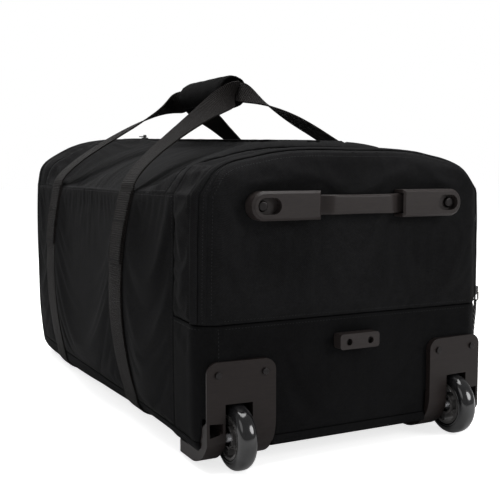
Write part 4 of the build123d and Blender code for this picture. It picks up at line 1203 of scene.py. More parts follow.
    def plan_points(self) -> list[tuple[float, float]]:
        """The base band's line seen from above, from the left side round the front to the right side."""
        z = 100.0
        left = [Vector((-self.form.side_x(y, z), y)) for y in (-294.3, -318.0, -342.0, -362.0, -375.0)]
        left += [Vector((-185.0, FRONT_Y + 0.2)), Vector((-165.0, FRONT_Y)), Vector((-90.0, FRONT_Y))]
        half = smooth_line([*left, Vector((0.0, FRONT_Y))], 6)
        return [(p.x, p.y) for p in half] + [(-p.x, p.y) for p in reversed(half[:-1])]

    def base(self) -> None:
        """The bottom, from the base seam on one side under the bag to the other."""
        length = REAR_SEAM_Y - FRONT_Y

        def place(s: float, t: float, lift: float) -> Vector:
            """A point of the bottom."""
            y = FRONT_Y + 1.0 + s * (length - 1.3)
            return on_outline(self.form.hoop(y, BASE_SEAM_Z), t, y, lift)

        def keep(p: Vector) -> bool:
            """Whether a place is clear of the wheel housings."""
            return not (113.0 < abs(p.x) < 200.3 and p.y < -306.0)

        under = self.form.hoop(0.0, BASE_SEAM_Z).length
        self.add(Panel("base_cloth", (length, under), place,
                       lambda a, b: 0.5 * slack(a, b, (90.0, 70.0), 71.0) - 0.2, 7.0, keep=keep, simulate=False,
                       finish="band_cloth", roll=1.0), "root", "base_panel")
        self.add(Panel("base_front_cloth", (226.0, 11.0),
                       lambda s, t, lift: Vector((-113.0 + 226.0 * s, FRONT_Y - lift, 23.4 + 11.0 * t)),
                       pitch=4.0, simulate=False, finish="band_cloth", roll=0.6), "root")

    def bulkhead(self) -> None:
        """The cloth wall between the pocket and the main compartment."""
        low = 27.0

        def place(s: float, t: float, lift: float) -> Vector:
            """A point of the wall."""
            y, x = BULKHEAD_Y + 0.9, 2 * s - 1
            inner = 3.2
            reach = self.form.section(y)[4] - inner
            points = [(px * (1 - inner / 204.0), pz - inner) for px, pz in self.form.crown(y)]
            top = next((az + (bz - az) * (x * reach - ax) / max(bx - ax, 1e-6)
                        for (ax, az), (bx, bz) in zip(points, points[1:]) if ax <= x * reach <= bx), SEAM_Z - inner)
            z = low + t * (top - low)
            half = min(self.form.side_x(y, min(max(z, 40.0), SEAM_Z)) - inner, reach + 3.0)
            return Vector((x * half, y + lift, z))

        self.add(Panel("bulkhead_cloth", (400.0, 340.0), place,
                       lambda a, b: 1.4 * slack(a, b, (80.0, 90.0), 81.0), 8.0, thickness=1.2, simulate=False,
                       roll=0.0, finish="lining", lining="lining"), "root", "pocket_bulkhead")

    # ---- all of it

    def build(self, wardrobe: Wardrobe) -> None:
        """Make every panel, let the cloth settle, then thicken and dress it.

        Args:
            wardrobe: where the finishes come from.
        """
        for side in Side:
            self.side_panel(side)
        self.top_panels()
        self.rear_end()
        self.gusset()
        self.pocket_front()
        self.base_band()
        self.base()
        self.bulkhead()
        made = [(panel, panel.build(), body, nodes) for panel, body, nodes in self.pieces]
        simulate([(panel, obj) for panel, obj, _, _ in made if panel.simulate], self.frames, self.limit)
        for panel, obj, body, nodes in made:
            if panel.name == "rear_end_cloth":
                close_ends(obj)
            panel.thicken(obj, wardrobe)
            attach(obj, body)
            if nodes:
                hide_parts(*nodes)
            self.made[panel.name] = obj
            log.info("%s on %s", panel.name, body)


def close_ends(obj: bpy.types.Object) -> None:
    """Join the two ends of a panel that runs right round, and its pole."""
    bm = bmesh.new()
    bm.from_mesh(obj.data)
    bmesh.ops.remove_doubles(bm, verts=bm.verts, dist=0.00005)
    bmesh.ops.dissolve_degenerate(bm, dist=1e-6, edges=bm.edges)
    bm.to_mesh(obj.data)
    bm.free()


# ------------------------------------------------------------------ bars: stitches and zip teeth


@dataclass(frozen=True)
class Bar:
    """One short thread or tooth: where it lies, which way it runs and which way is up from its surface."""

    middle: Vector
    along: Vector
    up: Vector


def bars(name: str, places: Iterable[Bar], length: float, radius: float, sides: int = 5, bow: float = 0.0,
         flatten: float = 1.0) -> bpy.types.Object:
    """One object of many short bars.

    Args:
        name: the object's name.
        places: where the bars lie, in millimetres.
        length: of each bar.
        radius: of each bar.
        sides: faces round each bar.
        bow: how far each bar's ends dip into the surface.
        flatten: share of the radius that is kept across the surface.

    Returns:
        The object.
    """
    laid = list(places)
    bm = bmesh.new()
    bmesh.ops.create_cone(bm, cap_ends=True, cap_tris=False, segments=sides, radius1=radius, radius2=radius,
                          depth=length)
    sides_edges = [edge for edge in bm.edges if abs(edge.verts[0].co.z - edge.verts[1].co.z) > length / 2]
    bmesh.ops.subdivide_edges(bm, edges=sides_edges, cuts=2, use_grid_fill=False)
    for vert in bm.verts:
        end = 2 * abs(vert.co.z) / length
        narrow = 0.6 if end > 0.9 else 1.0
        vert.co = Vector((vert.co.x * narrow, vert.co.y * narrow * flatten - bow * end * end, vert.co.z))
    each = len(bm.verts)
    while len(bm.verts) < each * len(laid):
        bmesh.ops.duplicate(bm, geom=[*bm.verts, *bm.edges, *bm.faces])
    bm.verts.ensure_lookup_table()
    bmesh.ops.delete(bm, geom=bm.verts[each * len(laid):], context="VERTS")
    bm.verts.ensure_lookup_table()
    for number, bar in enumerate(laid):
        along = bar.along.normalized()
        across = bar.up.cross(along).normalized()
        turn = Matrix((across, along.cross(across), along)).transposed().to_4x4()
        turn.translation = bar.middle
        for vert in bm.verts[each * number:each * (number + 1)]:
            vert.co = turn @ vert.co
    return finish_mesh(bm, name)


class Surface:
    """The finished cloth of one piece, to lay threads on."""

    def __init__(self, obj: bpy.types.Object) -> None:
        """Take the piece's mesh as it is."""
        bm = bmesh.new()
        bm.from_mesh(obj.data)
        self.tree = BVHTree.FromBMesh(bm)
        bm.free()

    def land(self, point: Vector, outward: Vector, reach: float = 14.0) -> tuple[Vector, Vector] | None:
        """The cloth's outer surface under a place, all in millimetres.

        Args:
            point: a place on the bag's form.
            outward: away from the bag.
            reach: how far off the form the search starts.

        Returns:
            (the place, the surface's normal), or None where there is no cloth.
        """
        start = (point + outward * reach) * MM
        hit, normal, _, _ = self.tree.ray_cast(start, -outward, 2.2 * reach * MM)
        return None if hit is None else (hit / MM, normal)


def stitch_run(surface: Surface, path: Callable[[float], tuple[Vector, Vector]], length: float, pitch: float = 4.2,
               sunk: float = 0.05) -> list[Bar]:
    """Stitches along a path that lies on a piece of cloth.

    Args:
        surface: the cloth.
        path: gives (point, outward) at a share of the path.
        length: the path's length.
        pitch: from one stitch to the next.
        sunk: how deep a stitch's middle lies below the surface.

    Returns:
        The stitches.
    """
    run = []
    count = max(2, int(length / pitch))
    for step in range(count):
        share = (step + 0.5) / count
        point, outward = path(share)
        ahead, _ = path(min(share + 0.5 / count, 1.0))
        behind, _ = path(max(share - 0.5 / count, 0.0))
        found = surface.land(point, outward)
        if found is not None and (ahead - behind).length > 0.1:
            place, normal = found
            along = (ahead - behind).normalized()
            along = (along - normal * along.dot(normal)).normalized()
            run.append(Bar(place - normal * sunk, along, normal))
    return run


# ------------------------------------------------------------------ webbing


def ribbon(name: str, section: Callable[[float], tuple[Vector, Vector, Vector]], length: float, width: float,
           thickness: float, pitch: float = 4.0, crown: float = 0.5, seed: float = 1.0) -> bpy.types.Object:
    """A strip of webbing.

    Args:
        name: the object's name.
        section: gives (middle, half the width as a vector, the face's normal) at a share of the length.
        length: the strip's length, for its grid and its pattern.
        width: the strip's width, for its pattern.
        thickness: the strip's thickness.
        pitch: the grid's step along the strip.
        crown: how far the edges fall away from the middle.
        seed: makes its slack its own.

    Returns:
        The object.
    """
    columns = max(6, round(length / pitch))

    def place(s: float, t: float) -> Vector:
        """A point of the strip."""
        middle, half, normal = section(s)
        off = 2 * t - 1
        wave = 0.35 * noise.noise(Vector((s * length / 34.0, off * 0.9, seed)))
        edge = 0.5 * noise.noise(Vector((s * length / 22.0, seed, 3.0 * (off > 0))))
        half_more = half * (1 + 0.012 * edge)
        return middle + half_more * off + normal * (wave - crown * abs(off) ** 5)

    bm = shaped_grid(columns, 10, place, lambda s, t: (s * length * MM, t * width * MM))
    obj = finish_mesh(bm, name)
    wall = obj.modifiers.new("thickness", "SOLIDIFY")
    wall.thickness = thickness * MM
    wall.offset = 0.0
    wall.use_even_offset = False
    apply_modifiers(obj)
    obj.data.shade_smooth()
    obj.data.set_sharp_from_angle(angle=math.radians(60))
    return obj


@dataclass
class HaulHandles:
    """The two webbing loops round the bag, their bands underneath and the padded wrap that joins them."""

    form: type[BagForm] = BagForm
    wrap_front: float = -51.0
    wrap_rear: float = 119.0
    wrap_z: float = 469.5
    wrap_r: float = 25.5
    tilt: float = math.radians(28.0)
    joint: float = 0.4
    grip_web: float = 30.0
    rise_z: float = 329.0
    lead: float = 5.0
    bend: float = 26.0
    lift: tuple[float, float, float] = (20.0, 8.0, 46.0)
    tongue_z: float = 222.0
    twist_power: float = 1.6
    threads: list[Bar] = field(default_factory=list)
    loop_threads: dict[Side, list[Bar]] = field(default_factory=lambda: {side: [] for side in Side})

    @property
    def joint_along(self) -> Vector:
        """The direction of the joint between the wrap's halves, seen from the end."""
        return Vector((math.sin(self.tilt), 0.0, math.cos(self.tilt)))

    @property
    def joint_across(self) -> Vector:
        """Square to the joint, towards the right half."""
        return Vector((math.cos(self.tilt), 0.0, -math.sin(self.tilt)))

    def band(self, y: float, name: str, wardrobe: Wardrobe) -> None:
        """The webbing under the bag, from seam to seam."""
        hoop = self.form.hoop(y, SEAM_Z - 0.5)

        def section(s: float) -> tuple[Vector, Vector, Vector]:
            """One section of the band."""
            x, z, nx, nz = hoop.at(s)
            normal = Vector((nx, 0.0, nz)) * (1 if nx * x + nz * (z - 200) > 0 else -1)
            puff = 0.5 * noise.noise(Vector((s * 22.0, y, 0.0)))
            return Vector((x, y, z)) + normal * (1.15 + max(puff, -0.1)), Vector((0, STRAP_W / 2, 0)), normal

        obj = ribbon(f"{name}_webbing", section, hoop.length, STRAP_W, STRAP_T, seed=y)
        self.hand_over(obj, wardrobe, "root", f"{name}_band")

    def tongue(self, side: Side, y: float, name: str, wardrobe: Wardrobe) -> None:
        """The loop's end, laid over the band below the seam and tacked down."""
        sign = side.value
        height = SEAM_Z - 0.6 - self.tongue_z

        def section(s: float) -> tuple[Vector, Vector, Vector]:
            """One section of the tongue, from its cut end up."""
            z = self.tongue_z + s * height
            x = self.form.side_x(y, z)
            ahead = self.form.side_x(y, z + 2.0)
            normal = Vector((2.0 * sign, 0.0, -(ahead - x))).normalized()
            lift = 3.3 + 0.5 * math.sin(math.pi * min(s * 1.6, 1.0)) ** 2
            return Vector((sign * x, y, z)) + normal * lift, Vector((0, STRAP_W / 2 - 0.6, 0)), normal

        obj = ribbon(f"{side.word}_{name}_tongue", section, height, STRAP_W, 1.8, seed=y + sign)
        self.hand_over(obj, wardrobe, "root")
        for z in (self.tongue_z + 5.0, self.tongue_z + 58.0):
            share = (z - self.tongue_z) / height
            middle, half, normal = section(share)
            up = (section(min(share + 0.02, 1))[0] - section(max(share - 0.02, 0))[0]).normalized()
            count = 26
            for step in range(count):
                off = (step + 0.5) / count * 2 - 1
                lean = 0.35 if step % 2 else -0.35
                self.threads.append(Bar(middle + half * (off * 0.9) + normal * 1.0,
                                        (up + half.normalized() * lean).normalized(), normal))
        for row in (-0.9, 0.9):
            for step in range(int(height / 4.0)):
                share = (step + 0.5) * 4.0 / height
                middle, half, normal = section(share)
                self.threads.append(Bar(middle + half * row + normal * 0.8, Vector((0, 0, 1)), normal))

    def leg(self, side: Side, y_strap: float, y_wrap: float, steps: int) -> list[tuple[Vector, Vector, Vector]]:
        """Sections of a leg from its seam up to the wrap, as (middle, half width, facing)."""
        toward = 1 if y_wrap > y_strap else -1
        outer_x = self.form.section(y_strap)[4] + 0.05 + STRAP_T / 2
        along_bag = Vector((0, toward, 0))
        start = Vector((side.value * (outer_x - 1.0), y_strap, self.rise_z))
        off_joint = self.joint_across * (side.value * (self.joint + STRAP_T / 2))
        finish = Vector((0, y_wrap - toward * self.lead, self.wrap_z)) + off_joint
        facing = Vector((side.value, 0, 0))
        sections = [(Vector((side.value * outer_x, y_strap, SEAM_Z + 0.5)), along_bag * (STRAP_W / 2), facing)]
        pull_1 = start + Vector((-side.value * self.lift[0], toward * self.lift[1], self.lift[2]))
        late = TWIST_START[side.value, toward]
        pull_2 = finish - along_bag * self.bend
        for step in range(steps + 1):
            t = step / steps
            back = 1 - t
            middle = (start * back ** 3 + pull_1 * (3 * t * back ** 2) + pull_2 * (3 * t ** 2 * back)
                      + finish * t ** 3)
            travel = ((pull_1 - start) * back ** 2 + (pull_2 - pull_1) * (2 * t * back)
                      + (finish - pull_2) * t ** 2).normalized()
            turn = max(0.0, (t - late) / (1 - late)) ** self.twist_power
            width = along_bag * (1 - turn) + self.joint_along * turn
            width = (width - travel * (width.dot(travel) * min(1, 2 * t))).normalized()
            thickness = travel.cross(width).normalized()
            facing = thickness if thickness.dot(facing) > 0 else -thickness
            sections.append((middle, width * ((STRAP_W + (self.grip_web - STRAP_W) * turn) / 2), facing))
        return sections

    def loop(self, side: Side, wardrobe: Wardrobe) -> None:
        """One whole loop: up its front leg, through the wrap and down its rear leg."""
        front = self.leg(side, STRAPS[0], self.wrap_front, 34)
        rear = self.leg(side, STRAPS[1], self.wrap_rear, 34)
        if front[-1][2].dot(rear[-1][2]) < 0:
            rear = [(middle, half, -facing) for middle, half, facing in rear]
        if front[-1][1].dot(rear[-1][1]) < 0:
            rear = [(middle, -half, facing) for middle, half, facing in rear]
        row = front + rear[::-1]
        walk = [0.0]
        for (a, _, _), (b, _, _) in zip(row, row[1:]):
            walk.append(walk[-1] + (b - a).length)

        def section(s: float) -> tuple[Vector, Vector, Vector]:
            """One section of the loop."""
            goal = s * walk[-1]
            index = max(0, next((i for i, length in enumerate(walk) if length >= goal), len(walk) - 1) - 1)
            index = min(index, len(row) - 2)
            t = (goal - walk[index]) / max(walk[index + 1] - walk[index], 1e-9)
            middle, half, normal = (a.lerp(b, t) for a, b in zip(row[index], row[index + 1]))
            return middle, half, normal.normalized()

        obj = ribbon(f"{side.word}_loop_webbing", section, walk[-1], STRAP_W, STRAP_T, seed=9.0 + side.value,
                     crown=0.3)
        self.hand_over(obj, wardrobe, f"{side.word}_flap", f"{side.word}_haul_loop")
        for row_off in (-0.88, 0.88):
            for leg in (front, rear):
                for (a, half_a, up_a), (b, half_b, _) in zip(leg[3:22], leg[4:23]):
                    for t in (0.25, 0.75):
                        point = a.lerp(b, t) + half_a.lerp(half_b, t) * row_off
                        for face in (1, -1):
                            self.loop_threads[side].append(Bar(point + up_a * (face * 0.95), b - a, up_a * face))

    @staticmethod
    def hand_over(obj: bpy.types.Object, wardrobe: Wardrobe, body: str, *nodes: str) -> None:
        """Dress a piece of webbing and put it on its body."""
        wardrobe.dress(obj, "webbing")
        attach(obj, body)
        if nodes:
            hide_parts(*nodes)
        log.info("%s on %s", obj.name, body)

    def wrap_half(self, side: Side, wardrobe: Wardrobe) -> None:
        """One padded half of the grip wrap: a stuffed shell with gathered skin and an open, rolled end."""
        across = self.joint_across * side.value
        along = self.joint_along
        y0, y1 = self.wrap_front + 3.0, self.wrap_rear - 3.0
        ends = ((9.0, 0.42), (8.5, 0.80), (2.0, 0.84), (0.3, 0.89), (0.0, 0.94), (0.9, 0.985), (3.0, 1.0))
        rows = [(y0 + depth, scale) for depth, scale in ends]
        count = 44
        rows += [(y0 + 4.0 + (y1 - y0 - 8.0) * k / count, 1.0) for k in range(count + 1)]
        rows += [(y1 - depth, scale) for depth, scale in reversed(ends)]
        arc_share = 0.74

        def radius(turn: float, y: float) -> float:
            """The skin's radius: stuffed, gathered at both ends and along the joint's lower edge."""
            end = min(y - y0, y1 - y)
            wide = self.wrap_r - 1.6 * math.exp(-(end / 7.0) ** 2)
            wide += 0.7 * slack(turn * 16.0, y, (9.0, 22.0), 91.0 + side.value)
            wide += 1.2 * puckers(max(turn + math.pi / 2, 0.0) * 20.0 + 2.0, y, 6.0, 16.0, 93.0)
            wide += 1.1 * puckers(end + 1.0, turn * 25.0, 5.0, 16.0, 95.0)
            lip = math.exp(-((turn + math.pi / 2 - 0.10) / 0.16) ** 2)
            return wide + (1.3 * lip if side is Side.LEFT else -0.4 * lip)

        def place(s: float, t: float) -> Vector:
            """A point of the half: round its skin, then back along the joint."""
            spot = min(t * (len(rows) - 1), len(rows) - 1.0001)
            index = int(spot)
            y = rows[index][0] + (rows[index + 1][0] - rows[index][0]) * (spot - index)
            scale = rows[index][1] + (rows[index + 1][1] - rows[index][1]) * (spot - index)
            if s <= arc_share:
                turn = -math.pi / 2 + math.pi * s / arc_share
                wide = radius(turn, y) * scale
                outward = self.joint + max(wide * math.cos(turn) - 0.4, 0.0)
                offset = across * outward + along * (wide * math.sin(turn))
            else:
                share = (s - arc_share) / (1 - arc_share)
                top, low = radius(math.pi / 2, y) * scale, radius(-math.pi / 2, y) * scale
                offset = across * self.joint + along * (top - (top + low) * share)
            return Vector((0, y, self.wrap_z)) + offset

        bm = shaped_grid(60, len(rows) - 1, place,
                         lambda s, t: (s * 110 * MM, t * (y1 - y0) * MM))
        bmesh.ops.remove_doubles(bm, verts=bm.verts, dist=0.01)
        rim = [edge for edge in bm.edges if edge.is_boundary]
        bmesh.ops.holes_fill(bm, edges=rim, sides=0)
        bmesh.ops.recalc_face_normals(bm, faces=bm.faces)
        obj = finish_mesh(bm, f"{side.word}_wrap_pad")
        obj.data.set_sharp_from_angle(angle=math.radians(70))
        wardrobe.dress(obj, "wrap")
        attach(obj, f"{side.word}_flap")
        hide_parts(f"{side.word}_grip_wrap_half")
        log.info("%s on %s_flap", obj.name, side.word)
        surface = Surface(obj)
        if side is Side.LEFT:
            for turn_off in (0.30, ):
                turn = -math.pi / 2 + turn_off
                outward = across * math.cos(turn) + along * math.sin(turn)
                self.loop_threads[side] += stitch_run(
                    surface, lambda t, o=outward: (Vector((0, y0 + 5 + (y1 - y0 - 10) * t, self.wrap_z)) + o * 25, o),
                    y1 - y0, 3.6)

    def build(self, wardrobe: Wardrobe) -> None:
        """Make the bands, the loops and the wrap."""
        for y, name in zip(STRAPS, ("front_strap", "rear_strap")):
            self.band(y, name, wardrobe)
            for side in Side:
                self.tongue(side, y, name, wardrobe)
        for side in Side:
            self.loop(side, wardrobe)
            self.wrap_half(side, wardrobe)
            threads = bars(f"{side.word}_loop_threads", self.loop_threads[side], 2.9, 0.36, bow=0.3)
            wardrobe.dress(threads, "thread")
            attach(threads, f"{side.word}_flap")
        tacks = bars("strap_threads", self.threads, 3.4, 0.42, bow=0.25)
        wardrobe.dress(tacks, "thread")
        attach(tacks, "root")


# ------------------------------------------------------------------ zips and seams


@dataclass
class Zips:
    """The pocket's arched zip and the long zip on top: tapes, teeth, cloth lips, sliders and pulls."""

    form: type[BagForm] = BagForm
    tooth_pitch: float = 1.9
    cord_route: tuple[tuple[float, float, float], ...] = (
        (213.0, -362.0, 170.85), (213.6, -361.0, 156.85), (213.4, -358.8, 139.85), (213.0, -358.0, 122.85))

    def arch_strip(self, name: str, y_from: float, y_to: float, lifts: tuple[float, float], low_z: float,
                   body: str, finish: str, wardrobe: Wardrobe, slot: Slot, *nodes: str) -> bpy.types.Object:
        """A narrow strip that follows the pocket's arch.

        Args:
            name: the piece's name.
            y_from: the strip's first edge along the bag.
            y_to: its second edge.
            lifts: how far its two edges stand off the bag's form.
            low_z: where its ends stand.
            body: the body that it rides on.
            finish: the name of its finish.
            wardrobe: where the finish comes from.
            slot: the record's slot; not used.
            nodes: the CAD nodes that it stands for.

        Returns:
            The object.
        """
        length = self.form.arch(0.5 * (y_from + y_to), low_z).length

        def place(s: float, t: float) -> Vector:
            """A point of the strip."""
            y = y_from + (y_to - y_from) * t
            wave = 0.5 * noise.noise(Vector((s * length / 26.0, t * 0.6, y_from)))
            lift = lifts[0] + (lifts[1] - lifts[0]) * t + wave + 0.7 * math.sin(math.pi * t)
            return on_outline(self.form.arch(round(y, 2), low_z), s, y, lift)

        bm = shaped_grid(round(length / 4.5), 4, place, lambda s, t: (s * length * MM, t * 8 * MM))
        face_away(bm, Vector((0, 0.5 * (y_from + y_to), 200)))
        obj = finish_mesh(bm, name)
        wall = obj.modifiers.new("thickness", "SOLIDIFY")
        wall.thickness, wall.offset, wall.use_even_offset = 1.1 * MM, -1.0, False
        apply_modifiers(obj)
        obj.data.shade_smooth()
        wardrobe.dress(obj, finish)
        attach(obj, body)
        if nodes:
            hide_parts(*nodes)
        log.info("%s on %s", name, body)
        return obj

    def arch_teeth(self, name: str, y: float, lean: float, low_z: float, body: str, wardrobe: Wardrobe) -> None:
        """Nylon teeth along one side of the pocket's arch."""
        arch = self.form.arch(y, low_z)
        count = int(arch.length / self.tooth_pitch)
        places = []
        for step in range(count):
            x, z, nx, nz = arch.at((step + 0.5) / count)
            along = Vector((nz * lean, 1.0, -nx * lean))
            places.append(Bar(Vector((x, y, z)) + Vector((nx, 0, nz)) * -2.2, along, Vector((nx, 0, nz))))
        self.teeth(name, places, body, wardrobe)

    @staticmethod
    def teeth(name: str, places: list[Bar], body: str, wardrobe: Wardrobe) -> None:
        """One row of teeth."""
        obj = bars(name, places, 2.5, 0.75, sides=5, bow=0.4)
        wardrobe.dress(obj, "tape")
        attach(obj, body)

    def top_strip(self, side: Side, y_low: float, y_high: float, name: str, body: str, wardrobe: Wardrobe,
                  *nodes: str) -> None:
        """One half of the long zip between two places: its cloth lip, its tape and its teeth."""
        sign = side.value

        def sheet(label: str, near: float, far: float, lift: float, finish: str, thick: float) -> bpy.types.Object:
            """A flat strip beside the zip's line."""
            def place(s: float, t: float) -> Vector:
                """A point of the strip."""
                y = y_low + (y_high - y_low) * s
                wave = 0.4 * noise.noise(Vector((y / 30.0, sign, near)))
                return Vector((sign * (near + (far - near) * t), y,
                               zip_height(y) + lift + wave + 0.5 * math.sin(math.pi * t)))

            bm = shaped_grid(max(4, round((y_high - y_low) / 6)), 4, place,
                             lambda s, t: (s * (y_high - y_low) * MM, t * 8 * MM))
            face_away(bm, Vector((0, 0, 0)))
            obj = finish_mesh(bm, label)
            wall = obj.modifiers.new("thickness", "SOLIDIFY")
            wall.thickness, wall.offset = thick * MM, -1.0
            apply_modifiers(obj)
            obj.data.shade_smooth()
            wardrobe.dress(obj, finish)
            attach(obj, body)
            return obj

        tape = sheet(f"{name}_tape", 0.5, 8.0, -1.0, "tape", 0.9)
        if nodes:
            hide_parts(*nodes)
        sheet(f"{name}_lip", 3.2, 9.5, 0.5, "cloth", 1.1)
        count = int((y_high - y_low) / self.tooth_pitch)
        places = []
        for step in range(count):
            y = y_low + (step + 0.5) * (y_high - y_low) / count + (0.5 if sign > 0 else 0.0)
            places.append(Bar(Vector((sign * 1.35, y, zip_height(y) - 0.5)), Vector((1.0, 0.25 * sign, 0)),
                              Vector((0, 0, 1))))
        self.teeth(f"{name}_teeth", places, body, wardrobe)

    def cord(self, wardrobe: Wardrobe) -> None:
        """The braided pull cord, its light flecks and its moulded end."""
        curve = bpy.data.curves.new("pull_cord_braid", "CURVE")
        curve.dimensions = "3D"
        spline = curve.splines.new("NURBS")
        spline.points.add(len(self.cord_route) - 1)
        for point, place in zip(spline.points, self.cord_route):
            point.co = (place[0] * MM, place[1] * MM, place[2] * MM, 1.0)
        spline.order_u = 3
        spline.use_endpoint_u = True
        curve.bevel_depth = 2.0 * MM
        curve.bevel_resolution = 4
        curve.resolution_u = 16
        curve.use_fill_caps = True
        obj = bpy.data.objects.new("pull_cord_braid", curve)
        bpy.context.scene.collection.objects.link(obj)
        wardrobe.dress(obj, "cord")
        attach(obj, "pocket_pull")
        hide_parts("pull_cord")
        flecks = []
        start, finish = Vector(self.cord_route[0]), Vector(self.cord_route[-1])
        for step in range(26):
            share = 0.03 + 0.94 * step / 25
            middle = start.lerp(finish, share) + Vector((0.45, 0.1, 0)) * math.sin(math.pi * share)
            for strand in (0.0, 2.1, 4.2):
                turn = share * 15.0 + strand
                out = Vector((math.cos(turn), math.sin(turn), 0))
                side = Vector((-math.sin(turn), math.cos(turn), -1.4))
                flecks.append(Bar(middle + out * 1.75, side, out))
        braid = bars("pull_cord_flecks", flecks, 2.2, 0.42, bow=0.2)
        wardrobe.dress(braid, "fleck")
        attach(braid, "pocket_pull")
        end = softened("pull_cord_end", "pull_cord_tip", 0.5)
        wardrobe.dress(end, "grip")
        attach(end, "pocket_pull")
        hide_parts("pull_cord_end")
        tuple(v * MM for v in self.cord_route[0])

    def build(self, wardrobe: Wardrobe) -> None:
        """Make both zips and their sliders."""
        low = BAND_Z + 1.0
        self.arch_strip("pocket_fixed_tape", ZIP_Y + 0.5, ZIP_Y + ZIP_GAP + 1.5, (-3.0, -1.2), low, "root", "tape",
                        wardrobe, Slot.COIL, "pocket_zip_fixed_half")
        self.arch_strip("pocket_panel_tape", ZIP_Y - 0.5, ZIP_Y - ZIP_GAP - 1.5, (-3.0, -1.2), low, "end_flap",
                        "tape", wardrobe, Slot.COIL, "pocket_zip_panel_half")
        self.arch_strip("pocket_rear_lip", ZIP_Y + 2.9, ZIP_Y + ZIP_GAP + 2.5, (0.4, -1.0), low, "root", "cloth",
                        wardrobe, Slot.FABRIC)
        self.arch_strip("pocket_front_lip", ZIP_Y - 1.5, ZIP_Y - ZIP_GAP - 2.0, (3.4, 1.4), low + 0.6, "end_flap",
                        "cloth", wardrobe, Slot.FABRIC)
        self.arch_teeth("pocket_rear_teeth", ZIP_Y + 1.15, 0.25, low, "root", wardrobe)
        self.arch_teeth("pocket_front_teeth", ZIP_Y - 1.15, -0.25, low + 0.6, "end_flap", wardrobe)
        for side in Side:
            self.top_strip(side, FLAP_FRONT + 0.4, FLAP_REAR - 0.4, f"{side.word}_zip", f"{side.word}_flap", wardrobe,
                           f"{side.word}_top_zip_half")
            ends = {"front": (-285.8, FLAP_FRONT - 0.4), "rear": (FLAP_REAR + 0.4, 363.8)}
            for place, (y_low, y_high) in ends.items():
                nodes = ("top_zip_ends",) if place == "rear" and side is Side.LEFT else ()
                self.top_strip(side, y_low, y_high, f"{side.word}_{place}_zip", "root", wardrobe, *nodes)
        for node, body, finish, width in (
            ("top_zip_slider", "top_slider", "slider", 0.5), ("top_zip_pull", "top_pull", "slider", 0.45),
            ("pocket_zip_slider", "pocket_slider", "slider", 0.5), ("pocket_zip_pull", "pocket_pull", "ring", 0.6),
        ):
            obj = softened(node, f"{node}_cast", width)
            wardrobe.dress(obj, finish)
            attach(obj, body)
            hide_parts(node)
        self.cord(wardrobe)


